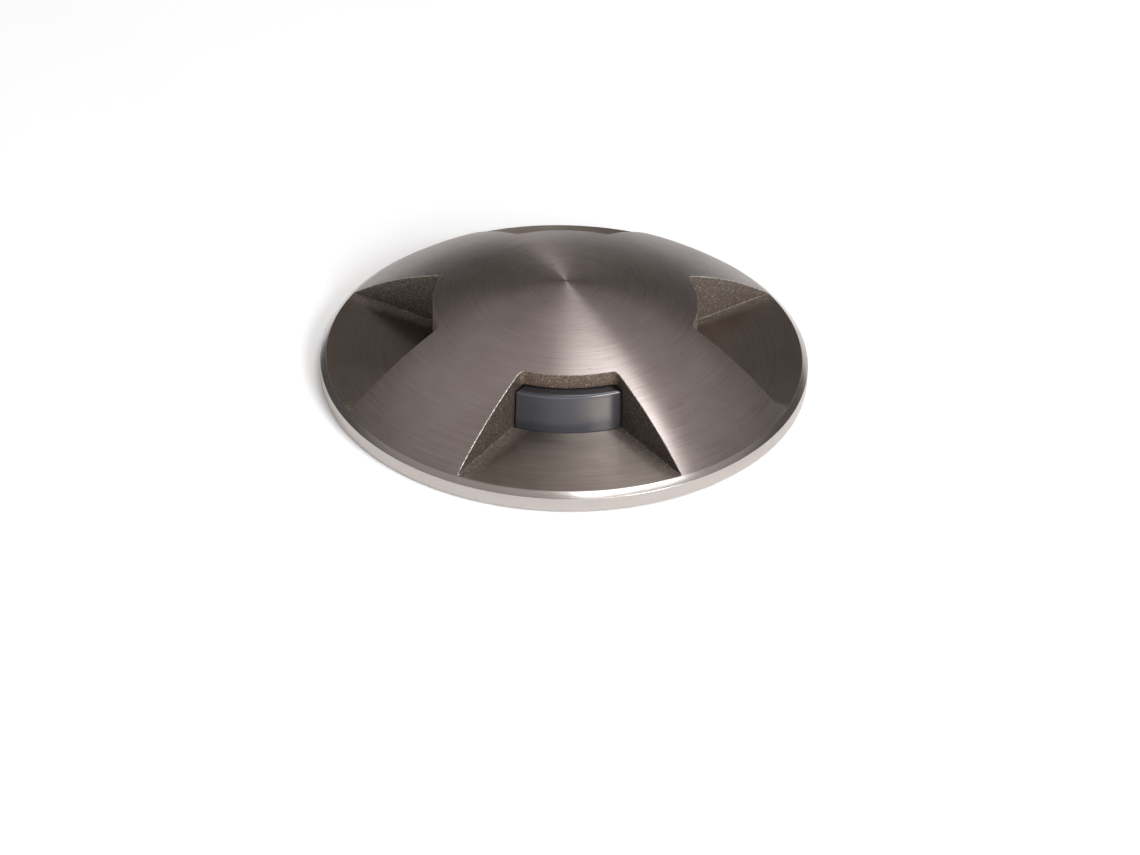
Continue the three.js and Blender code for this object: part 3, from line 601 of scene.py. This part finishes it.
def classify(mesh, surfaces):
    """Gives each face the material of its surface, and the turned faces their true normals."""
    shade_smooth(mesh, crease)
    normals = [Vector(n.vector) for n in mesh.corner_normals]
    true_normals = {"dome": dome_normal, "floor": floor_normal}
    for face in mesh.polygons:
        surface = surface_of(face)
        face.material_index = surfaces.index(surface)
        if surface not in true_normals:
            continue
        for loop in face.loop_indices:
            vertex = mesh.vertices[mesh.loops[loop].vertex_index].co
            normals[loop] = true_normals[surface](vertex)
    mesh.normals_split_custom_set(normals)


def lens():
    """The smoked lens: a cup with one pad for each window."""
    top = lens_top
    foot = seat_gap
    flange_top = foot + lens_flange_height
    profile = [
        (0, top - lens_roof),
        (lens_bore, top - lens_roof),
        (lens_bore, foot),
        (lens_flange, foot),
        (lens_flange, flange_top),
        (lens_ring, flange_top),
        *rounded((lens_ring, top), (lens_ring, foot), (0, top), lens_round, lens_round_steps),
        (0, top),
    ]
    body = revolve("lens", profile, facets)
    for k, pad in enumerate(window_pads):
        loops = [pad_loop(pad, 0, foot)]
        for i in range(corner_steps + 1):
            angle = quarter * i / corner_steps
            shrink = pad_draft + lens_round * (1 - math.cos(angle))
            z = top - lens_round + lens_round * math.sin(angle)
            loops.append(pad_loop(pad, -shrink, z))
        join(body, turned(loft("pad", loops), k * window_step))
    return body


class Nodes:
    """A node tree, with a call for each kind of node."""

    def __init__(self, tree):
        self.tree = tree

    def node(self, kind, settings=None, **inputs):
        made = self.tree.nodes.new(kind)
        for key, value in (settings or {}).items():
            setattr(made, key, value)
        for key, value in inputs.items():
            self.put(made.inputs[key.replace("_", " ")], value)
        return made

    def put(self, socket, value):
        if isinstance(value, bpy.types.NodeSocket):
            self.tree.links.new(value, socket)
        else:
            socket.default_value = value

    def math(self, operation, a, b=0.0):
        made = self.node("ShaderNodeMath", {"operation": operation})
        self.put(made.inputs[0], a)
        self.put(made.inputs[1], b)
        return made.outputs[0]

    def times(self, first, *others):
        for other in others:
            first = self.math("MULTIPLY", first, other)
        return first

    def vector(self, operation, a, b=(0, 0, 0)):
        made = self.node("ShaderNodeVectorMath", {"operation": operation})
        self.put(made.inputs[0], a)
        self.put(made.inputs[1], b)
        return made.outputs["Value" if operation == "DOT_PRODUCT" else "Vector"]

    def scaled(self, vector, factor):
        made = self.node("ShaderNodeVectorMath", {"operation": "SCALE"}, Vector=vector, Scale=factor)
        return made.outputs["Vector"]

    def split(self, vector):
        made = self.node("ShaderNodeSeparateXYZ", Vector=vector)
        return made.outputs[0], made.outputs[1], made.outputs[2]

    def combine(self, x, y, z):
        return self.node("ShaderNodeCombineXYZ", X=x, Y=y, Z=z).outputs[0]

    def noise(self, vector, scale=1.0, detail=3.0, roughness=0.6):
        made = self.node("ShaderNodeTexNoise", Vector=vector, Scale=scale, Detail=detail, Roughness=roughness)
        return made.outputs["Fac"]

    def spread(self, value, low, high, to_low=0.0, to_high=1.0, kind="LINEAR"):
        """Maps a value from one range to another, clamped."""
        settings = {"interpolation_type": kind}
        made = self.node("ShaderNodeMapRange", settings, Value=value, From_Min=low, From_Max=high)
        self.put(made.inputs["To Min"], to_low)
        self.put(made.inputs["To Max"], to_high)
        return made.outputs["Result"]

    def smooth(self, value, low, high, to_low=0.0, to_high=1.0):
        """Maps a value from one range to another with soft ends."""
        return self.spread(value, low, high, to_low, to_high, "SMOOTHSTEP")

    def mix(self, share, a, b):
        """A colour between two."""
        made = self.node("ShaderNodeMix", {"data_type": "RGBA"})
        self.put(made.inputs["Factor"], share)
        self.put(made.inputs["A"], (*a, 1) if isinstance(a, tuple) else a)
        self.put(made.inputs["B"], (*b, 1) if isinstance(b, tuple) else b)
        return made.outputs["Result"]

    def blend(self, share, a, b):
        """A number between two."""
        made = self.node("ShaderNodeMix")
        for socket, value in zip(made.inputs[0:1] + made.inputs[2:4], (share, a, b)):
            self.put(socket, value)
        return made.outputs[0]

    def bump(self, height, distance, strength=1.0, normal=None):
        made = self.node("ShaderNodeBump", Height=height, Distance=distance, Strength=strength)
        if normal is not None:
            self.put(made.inputs["Normal"], normal)
        return made.outputs[0]


class Shader(Nodes):
    """The node tree of a new material, in millimetres of the part's frame."""

    def __init__(self, name):
        self.material = bpy.data.materials.new(name)
        self.material.use_nodes = True
        super().__init__(self.material.node_tree)
        self.surface = self.tree.nodes["Principled BSDF"]

    def place(self):
        """Object coordinates in millimetres."""
        return self.scaled(self.node("ShaderNodeTexCoord").outputs["Object"], 1 / mm)

    def axis_distance(self):
        """Distance from the light's axis."""
        x, y, _ = self.split(self.place())
        return self.math("SQRT", self.math("ADD", self.times(x, x), self.times(y, y)))

    def set(self, **inputs):
        for key, value in inputs.items():
            self.put(self.surface.inputs[key.replace("_", " ")], value)


# Looks. A range is the part of a noise that is spread over a full change of colour or polish.
# A scale is in cells a millimetre.
noise_range = (0.3, 0.7)

# Brushing in circles
fine_marks = dict(fineness=4.5, arcs=1.6)
long_marks = dict(fineness=3.0, arcs=4.0)
brush_anisotropy = 0.9
brush_cloud_scale = 0.05
brush_long_share = 0.3
brush_range = (0.35, 0.65)
streak_tone = (0.9, 1.08)
smoother = 0.02
rougher = 0.03
near_axis = 0.01

# Lines along the rim
rim_along_scale = 0.12
rim_cloud_scale = 0.3
rim_cloud_share = 0.3
rim_range = (0.2, 0.8)

# Blasted grain, and its painted glints
blast_depth = 0.16 * mm
blast_scale = 3.2
blast_range = (0.36, 0.64)
blast_coarse_scale = 0.9
blast_coarse_share = 0.6
glint_scale = 3.6
glint_range = (0.8, 0.95)
glint_colour = (0.9, 0.84, 0.77)

# Grain that reaches from the walls on to a window's floor, and how far in millimetres
foot_low = (0.12, 0.1, 0.085)
foot_high = (0.3, 0.26, 0.23)
foot_glint = 0.35
foot_rough = 0.6
foot_wander = 3.0
foot_wander_scale = 0.7
foot_reach = (-0.6, 2.2)

# Radii between which a window's walls and edges take their painted back shading and tint, towards its back
back_shading_start = window_back + 1.2
back_shading_end = window_back + 0.3

# Moulded, cast and drawn pieces
plain_cloud_scale = 0.12
plain_dark = 0.8
plain_light = 1.12
plain_smoother = 0.05
plain_rougher = 0.07


def circular(shader, fineness, arcs):
    """Coordinates for marks brushed in circles: fine across them, and slow along them."""
    x, y, _ = shader.split(shader.place())
    radius = shader.axis_distance()
    safe = shader.math("MAXIMUM", radius, near_axis)
    c = shader.times(shader.math("DIVIDE", x, safe), arcs)
    s = shader.times(shader.math("DIVIDE", y, safe), arcs)
    return shader.combine(shader.times(radius, fineness), c, s)


def radial_tangent(shader):
    """Direction across the brushing, away from the light's axis."""
    x, y, _ = shader.split(shader.place())
    return shader.vector("NORMALIZE", shader.combine(x, y, 0.0))


def beside_walls(shader):
    """Share of the blasted grain on a window's floor: whole at its walls, none a few millimetres on."""
    x, y, _ = shader.split(shader.place())
    across = shader.math("ABSOLUTE", x)
    along = shader.math("ABSOLUTE", y)
    out = shader.math("SUBTRACT", shader.math("MAXIMUM", across, along), window_apex)
    aside = shader.math("MINIMUM", across, along)
    left = shader.times(out, math.sin(window_half))
    distance = shader.math("SUBTRACT", left, shader.times(aside, math.cos(window_half)))
    wander = shader.times(shader.noise(shader.place(), foot_wander_scale, roughness=0.7), foot_wander)
    return shader.spread(shader.math("SUBTRACT", distance, wander), *foot_reach, 1.0, 0.0)


def blast_grain(shader, low, high, glint):
    """Colour and height of a blasted grain, with a share of painted glints in single cells."""
    place = shader.place()
    grain = shader.noise(place, blast_scale, detail=2.0, roughness=0.7)
    coarse = shader.noise(place, blast_coarse_scale)
    cells = shader.node("ShaderNodeTexVoronoi", Vector=place, Scale=glint_scale)
    # Painted glints: single cells lightened towards a glint colour
    painted_glints = shader.spread(cells.outputs["Color"], *glint_range)
    colour = shader.mix(shader.spread(grain, *blast_range), low, high)
    colour = shader.mix(shader.times(painted_glints, glint), colour, glint_colour)
    height = shader.math("ADD", grain, shader.times(coarse, blast_coarse_share))
    return colour, height


def brushed(name, low, high, rough, streak_depth, blasted_feet=False):
    """Stainless steel brushed in circles round the light's axis."""
    shader = Shader(name)
    fine = shader.noise(circular(shader, **fine_marks), detail=2.0)
    long = shader.noise(circular(shader, **long_marks))
    cloud = shader.noise(shader.place(), brush_cloud_scale)
    tone = shader.blend(brush_long_share, cloud, long)
    base = shader.mix(shader.spread(tone, *brush_range), low, high)
    colour = shader.scaled(base, shader.spread(fine, *noise_range, *streak_tone))
    polish = shader.spread(long, *noise_range, rough - smoother, rough + rougher)
    anisotropic = brush_anisotropy
    normal = shader.bump(fine, streak_depth * mm)
    if blasted_feet:
        share = beside_walls(shader)
        # Blasted grain with its painted glints, at the feet of the walls
        grain_and_glints, height = blast_grain(shader, foot_low, foot_high, foot_glint)
        colour = shader.mix(share, colour, grain_and_glints)
        polish = shader.blend(share, polish, foot_rough)
        anisotropic = shader.blend(share, anisotropic, 0.0)
        normal = shader.bump(height, blast_depth, share, normal)
    shader.set(
        Metallic=1.0,
        Base_Color=colour,
        Roughness=polish,
        Anisotropic=anisotropic,
        Tangent=radial_tangent(shader),
        Normal=normal,
    )
    return shader.material


def turned_rim(name, low, high, rough, lines, depth):
    """Steel with fine lines along the rim, and cloudy from place to place."""
    shader = Shader(name)
    x, y, z = shader.split(shader.place())
    slow_x = shader.times(x, rim_along_scale)
    slow_y = shader.times(y, rim_along_scale)
    fine = shader.noise(shader.combine(slow_x, slow_y, shader.times(z, lines)), roughness=0.7)
    cloud = shader.noise(shader.place(), rim_cloud_scale)
    tone = shader.blend(rim_cloud_share, fine, cloud)
    shader.set(
        Metallic=1.0,
        Base_Color=shader.mix(shader.spread(tone, *rim_range), low, high),
        Roughness=rough,
        Normal=shader.bump(fine, depth * mm),
    )
    return shader.material


def blasted(name, low, high, rough, glint, back_shading_and_tint):
    """Shot-blasted steel with a fine grain, its colour scaled towards the backs of the windows: painted
    shading with a tint.
    """
    shader = Shader(name)
    colour, height = blast_grain(shader, low, high, glint)
    # Painted shading with a tint, growing towards the back of each window
    back = shader.spread(shader.axis_distance(), back_shading_start, back_shading_end)
    shader.set(
        Metallic=1.0,
        Base_Color=shader.mix(back, colour, shader.vector("MULTIPLY", colour, back_shading_and_tint)),
        Roughness=rough,
        Normal=shader.bump(height, blast_depth),
    )
    return shader.material


def plain(name, colour, rough, metallic=0.0, grain=0.6, depth=0.02):
    """Moulded, cast or drawn material with a light grain and slight cloudiness."""
    shader = Shader(name)
    place = shader.place()
    fine = shader.noise(place, 1 / grain)
    cloud = shader.noise(place, plain_cloud_scale)
    dark = tuple(plain_dark * c for c in colour)
    light = tuple(min(1.0, plain_light * c) for c in colour)
    shader.set(
        Metallic=metallic,
        Base_Color=shader.mix(shader.spread(cloud, *noise_range), dark, light),
        Roughness=shader.spread(fine, *noise_range, rough - plain_smoother, rough + plain_rougher),
        Normal=shader.bump(fine, depth * mm),
    )
    return shader.material


def across_pad(shader, x, y):
    """Distance along a lens pad's front from its middle, the same way round on all the pads."""
    over_y = shader.times(y, shader.math("SIGN", x))
    over_x = shader.times(x, shader.times(shader.math("SIGN", y), -1.0))
    on_y = shader.math("GREATER_THAN", shader.math("ABSOLUTE", y), shader.math("ABSOLUTE", x))
    return shader.blend(on_y, over_y, over_x)


# Smoked plastic
smoke_low = (0.082, 0.083, 0.098)
smoke_high = (0.096, 0.096, 0.11)
smoke_scale = 5.0

# Painted glow of light scattered through a pad, from none to whole, in millimetres across the pad and up it
painted_glow_colour = (0.19, 0.172, 0.158)
painted_glow_share = 0.68
painted_glow_left = (-1.0, 6.5)
painted_glow_right = (9.6, 7.8)
painted_glow_foot = (6.4, 9.0)
painted_glow_head = (13.4, 12.2)

# Painted shade on a pad: two places in millimetres, and the share of its colour that is left at each
shade_foot = (5.6, 7.4, 0.66, 1.0)
shade_right = (8.2, 9.6, 1.0, 0.45)
shade_head = (lens_top - 0.45, lens_top - 0.05, 1.0, 0.3)
shade_left = (-10.0, 0.0, 0.62, 1.0)


def smoked():
    """Smoked satin plastic, with a painted glow of scattered light and painted shade on each pad."""
    shader = Shader("smoked_lens")
    place = shader.place()
    x, y, z = shader.split(place)
    across = across_pad(shader, x, y)
    # Painted glow: a lighter patch on each pad in place of light scattered through the lens
    painted_glow = shader.times(
        shader.smooth(across, *painted_glow_left),
        shader.smooth(across, *painted_glow_right),
        shader.smooth(z, *painted_glow_foot),
        shader.smooth(z, *painted_glow_head),
        painted_glow_share,
    )
    # Painted shade: darker towards the pad's foot, its right end, its upper edge and its far left
    shade = shader.times(
        shader.smooth(z, *shade_foot),
        shader.smooth(across, *shade_right),
        shader.smooth(z, *shade_head),
        shader.smooth(across, *shade_left),
    )
    grain = shader.noise(place, smoke_scale, detail=2.0)
    base = shader.mix(shader.spread(grain, *noise_range), smoke_low, smoke_high)
    base = shader.mix(painted_glow, base, painted_glow_colour)
    shader.set(Base_Color=shader.scaled(base, shade), Roughness=0.15, IOR=1.52)
    return shader.material


cast = dict(metallic=1.0, grain=0.5, depth=0.05)
drawn_steel = dict(metallic=1.0, grain=0.4, depth=0.01)
slot_looks = {
    "seal_silicone_red": dict(colour=(0.36, 0.1, 0.06), rough=0.75),
    "seal_rubber": dict(colour=(0.022, 0.022, 0.023), rough=0.7),
    "cast_aluminium": dict(colour=(0.62, 0.63, 0.64), rough=0.42, **cast),
    "screw_steel": dict(colour=(0.62, 0.61, 0.6), rough=0.28, **drawn_steel),
    "spring_steel": dict(colour=(0.66, 0.65, 0.64), rough=0.22, **drawn_steel),
    "board_green": dict(colour=(0.02, 0.14, 0.06), rough=0.4),
    "board_white": dict(colour=(0.78, 0.78, 0.75), rough=0.4),
    "led_phosphor": dict(colour=(0.8, 0.58, 0.14), rough=0.2),
    "ferrite": dict(colour=(0.05, 0.045, 0.04), rough=0.65),
    "capacitor_can": dict(colour=(0.6, 0.61, 0.63), rough=0.3, metallic=1.0),
    "chip_black": dict(colour=(0.018, 0.018, 0.019), rough=0.5),
    "terminal_green": dict(colour=(0.03, 0.22, 0.08), rough=0.42),
    "lead_red": dict(colour=(0.4, 0.02, 0.015), rough=0.45),
    "lead_black": dict(colour=(0.02, 0.02, 0.022), rough=0.45),
    "gland_plastic": dict(colour=(0.035, 0.036, 0.04), rough=0.45),
    "sleeve_plastic": dict(colour=(0.028, 0.029, 0.031), rough=0.5),
}
slot_materials = {slot: plain(slot, **look) for slot, look in slot_looks.items()}

cover_materials = {
    "dome": brushed(
        "dome_brushed",
        low=(0.365, 0.315, 0.302),
        high=(0.465, 0.415, 0.402),
        rough=0.29,
        streak_depth=0.0008,
    ),
    "floor": brushed(
        "floor_brushed",
        low=(0.24, 0.202, 0.18),
        high=(0.33, 0.288, 0.263),
        rough=0.33,
        streak_depth=0.008,
        blasted_feet=True,
    ),
    "wall": blasted(
        "walls_blasted",
        low=(0.09, 0.074, 0.063),
        high=(0.24, 0.201, 0.173),
        rough=0.58,
        glint=0.3,
        # Painted light on the back walls: lighter, with a browner tint
        back_shading_and_tint=(1.3, 1.16, 1.07),
    ),
    "rim": turned_rim(
        "rim_brushed",
        low=(0.47, 0.425, 0.4),
        high=(0.56, 0.518, 0.495),
        rough=0.38,
        lines=7.0,
        depth=0.006,
    ),
    "bevel": turned_rim(
        "bevel_turned",
        low=(0.47, 0.44, 0.42),
        high=(0.58, 0.555, 0.54),
        rough=0.2,
        lines=6.0,
        depth=0.0015,
    ),
    "underside": plain("cover_underside", (0.4, 0.38, 0.36), 0.45, **cast),
    # Lighter than the walls, with many glints: a painted highlight along the windows' upper edges
    "edge": blasted(
        "window_edges",
        low=(0.25, 0.23, 0.215),
        high=(0.75, 0.71, 0.68),
        rough=0.4,
        glint=0.7,
        # The edges' painted highlight fades to dark towards the backs of the windows
        back_shading_and_tint=(0.4, 0.37, 0.35),
    ),
}
cover_piece = cover()
cover_piece.name = "brushed_cover"
give_materials(cover_piece.data, cover_materials.values())
classify(cover_piece.data, list(cover_materials))
finish(cover_piece, "lamp", "brushed_steel_cover", "cover_dome")

lens_piece = lens()
lens_piece.name = "smoked_lens"
give_materials(lens_piece.data, [smoked()])
shade_smooth(lens_piece.data, crease)
finish(lens_piece, "lamp", "smoked_lens", "lens")


def soften(node, angle, width):
    """Smooth shading on a CAD node's round faces, and a small round on its sharp edges."""
    shade_smooth(node.data, angle)
    edges = node.modifiers.new("edges", "BEVEL")
    edges.width = width * mm
    edges.segments = 2
    edges.limit_method = "ANGLE"
    edges.angle_limit = angle
    edges.use_clamp_overlap = True
    edges.harden_normals = True


for part in frame["record"]["subparts"]:
    node = frame["nodes"][part["node"]]
    if part["material_slot"] in slot_materials:
        give_materials(node.data, [slot_materials[part["material_slot"]]])
        if "screw" in part["node"] or "pin" in part["node"]:
            soften(node, screw_crease, screw_edge)
        else:
            soften(node, node_crease, node_edge)


# Ground round the light and the pit below it, drawn in metres
ground_hole = 51.2 * mm
ground_top = -0.2 * mm
ground_rings = (ground_hole, 0.2, 1.0, 6.0, 60.0)
ground_low = (0.925, 0.943, 0.955)
ground_high = (0.935, 0.953, 0.965)
ground_scale = 0.02
pit_clear = 0.01 * mm
pit_radius = ground_hole + pit_clear
pit_depth = 66 * mm
pit_low = (0.05, 0.048, 0.045)
pit_high = (0.12, 0.115, 0.11)
pit_scale = 0.4

# Glow of the ground, which grows between two distances in millimetres
floor_glow = 0.11
far_glow = 0.8
far_span = (400, 1700)


def floor_light(shader):
    """Glow that the camera, metal and glass see. It whitens the far floor for the camera."""
    path = shader.node("ShaderNodeLightPath").outputs
    seen = shader.math("MAXIMUM", path["Is Camera Ray"], path["Is Glossy Ray"])
    seen = shader.math("MAXIMUM", seen, path["Is Transmission Ray"])
    far = shader.spread(shader.axis_distance(), *far_span, 0.0, far_glow)
    near = shader.times(seen, floor_glow)
    return shader.math("ADD", near, shader.times(path["Is Camera Ray"], far))


def lay_floor():
    """A pale floor with a round hole for the sleeve."""
    points = []
    for radius in ground_rings:
        points.extend(ring(radius, ground_top, facets))
    faces = []
    for inner in range(0, len(points) - facets, facets):
        faces.extend(band(inner + facets, inner, facets))
    ground = link(drawn("floor", points, faces), "floor")
    shader = Shader("floor")
    grain = shader.noise(shader.place(), ground_scale, detail=2.0, roughness=0.5)
    shader.set(
        Base_Color=shader.mix(shader.spread(grain, *noise_range), ground_low, ground_high),
        Roughness=0.8,
        Emission_Color=(1, 1, 1, 1),
        Emission_Strength=floor_light(shader),
    )
    give_materials(ground.data, [shader.material])


def dig_pit():
    """A dark pit below the hole in the floor."""
    points = ring(pit_radius, ground_top, facets) + ring(pit_radius, -pit_depth, facets)
    faces = band(0, facets, facets)
    faces.append(list(range(facets, 2 * facets)))
    pit = link(drawn("pit", points, faces), "pit")
    shader = Shader("pit")
    grain = shader.noise(shader.place(), pit_scale, detail=4.0, roughness=0.5)
    shader.set(Base_Color=shader.mix(grain, pit_low, pit_high), Roughness=0.9)
    give_materials(pit.data, [shader.material])


# The room that the metal sees, in colours by the height of a ray. Its left is dimmed low down.
room_stops = [
    (0.0, (1, 1, 1)),
    (0.09, (1, 1, 1)),
    (0.15, (0.09, 0.0828, 0.07875)),
    (0.5, (0.095, 0.0874, 0.083125)),
    (0.66, (0.32, 0.2944, 0.28)),
    (1.0, (0.42, 0.39, 0.375)),
]
room_strength = 1.25
room_right = (0.8, -0.6, 0)
dim_strength = 0.12
dim_side = (-0.7, 0.3)
dim_height = (0.1, 0.25)


def world():
    """White for the camera. The metal sees a pale horizon under a dimmer room, darker on the left."""
    scene_world = bpy.data.worlds.new("studio")
    bpy.context.scene.world = scene_world
    scene_world.use_nodes = True
    nodes = Nodes(scene_world.node_tree)
    nodes.tree.nodes.clear()
    ray = nodes.node("ShaderNodeTexCoord").outputs["Generated"]
    height = nodes.split(ray)[2]
    ramp = nodes.node("ShaderNodeValToRGB")
    nodes.put(ramp.inputs[0], height)
    stops = ramp.color_ramp.elements
    for position, _ in room_stops[1:-1]:
        stops.new(position)
    for stop, (_, colour) in zip(stops, room_stops):
        stop.color = (*colour, 1)
    side = nodes.spread(nodes.vector("DOT_PRODUCT", ray, room_right), *dim_side, dim_strength, room_strength)
    strength = nodes.spread(height, *dim_height, side, room_strength)
    room = nodes.node("ShaderNodeBackground", Color=ramp.outputs[0], Strength=strength)
    white = nodes.node("ShaderNodeBackground", Color=(1, 1, 1, 1))
    seen = nodes.node("ShaderNodeMixShader")
    nodes.put(seen.inputs[0], nodes.node("ShaderNodeLightPath").outputs["Is Camera Ray"])
    nodes.put(seen.inputs[1], room.outputs[0])
    nodes.put(seen.inputs[2], white.outputs[0])
    nodes.node("ShaderNodeOutputWorld", Surface=seen.outputs[0])


def lamp(name, direction, distance, size, power, spin=0.0):
    """A soft light that faces the part, its length along Y, turned about its own axis by a spin."""
    data = bpy.data.lights.new(name, "AREA")
    data.shape = "RECTANGLE"
    data.size, data.size_y = size
    data.energy = power
    light = link(data, name)
    away = Vector(direction).normalized()
    right = Vector((0, 1, 0)).cross(away).normalized()
    faced = Matrix((right, away.cross(right), away)).transposed()
    light.location = away * distance
    light.rotation_euler = (faced @ Matrix.Rotation(spin, 3, "Z")).to_euler()


# The camera of the photo: where the light's axis meets the ground, in pixels of the 1140 x 855 frame
photo_width = 1140
photo_height = 855
focal_px = 3705
origin_px = (564.03, 367.55)
camera_distance = 0.8
camera_elevation = 34.17 * degree
camera_azimuth = -2.1 * degree
camera_roll = 1.28 * degree
sensor = 36


def camera():
    flat = math.cos(camera_elevation)
    place = camera_distance * Vector(
        (flat * math.sin(camera_azimuth), -flat * math.cos(camera_azimuth), math.sin(camera_elevation))
    )
    back = place.normalized()
    right = Vector((0, 0, 1)).cross(back).normalized()
    up = back.cross(right)
    base = Matrix((right, up, back)).transposed()
    x = (origin_px[0] - photo_width / 2) / focal_px
    y = -(origin_px[1] - photo_height / 2) / focal_px
    swing = Vector((x, y, -1)).rotation_difference(Vector((0, 0, -1))).to_matrix()
    roll = Matrix.Rotation(camera_roll, 3, "Z")
    data = bpy.data.cameras.new("camera")
    data.sensor_width = sensor
    data.lens = focal_px / photo_width * sensor
    data.clip_start = 0.01
    data.clip_end = 200
    view = link(data, "camera")
    view.matrix_world = Matrix.Translation(place) @ (base @ roll @ swing).to_4x4()
    bpy.context.scene.camera = view


lay_floor()
dig_pit()
world()
lamp("key", direction=(0.272, -0.2, 1), distance=1.25, size=(0.73, 0.6), power=6.4, spin=29 * degree)
lamp("key_back", direction=(0.09, 0.44, 1), distance=1.25, size=(0.28, 0.7), power=0.35, spin=29 * degree)
lamp("fill", direction=(0.5, -0.75, 0.45), distance=2.0, size=(0.5, 1.1), power=33.0)
camera()
bpy.context.scene.view_settings.view_transform = "Standard"
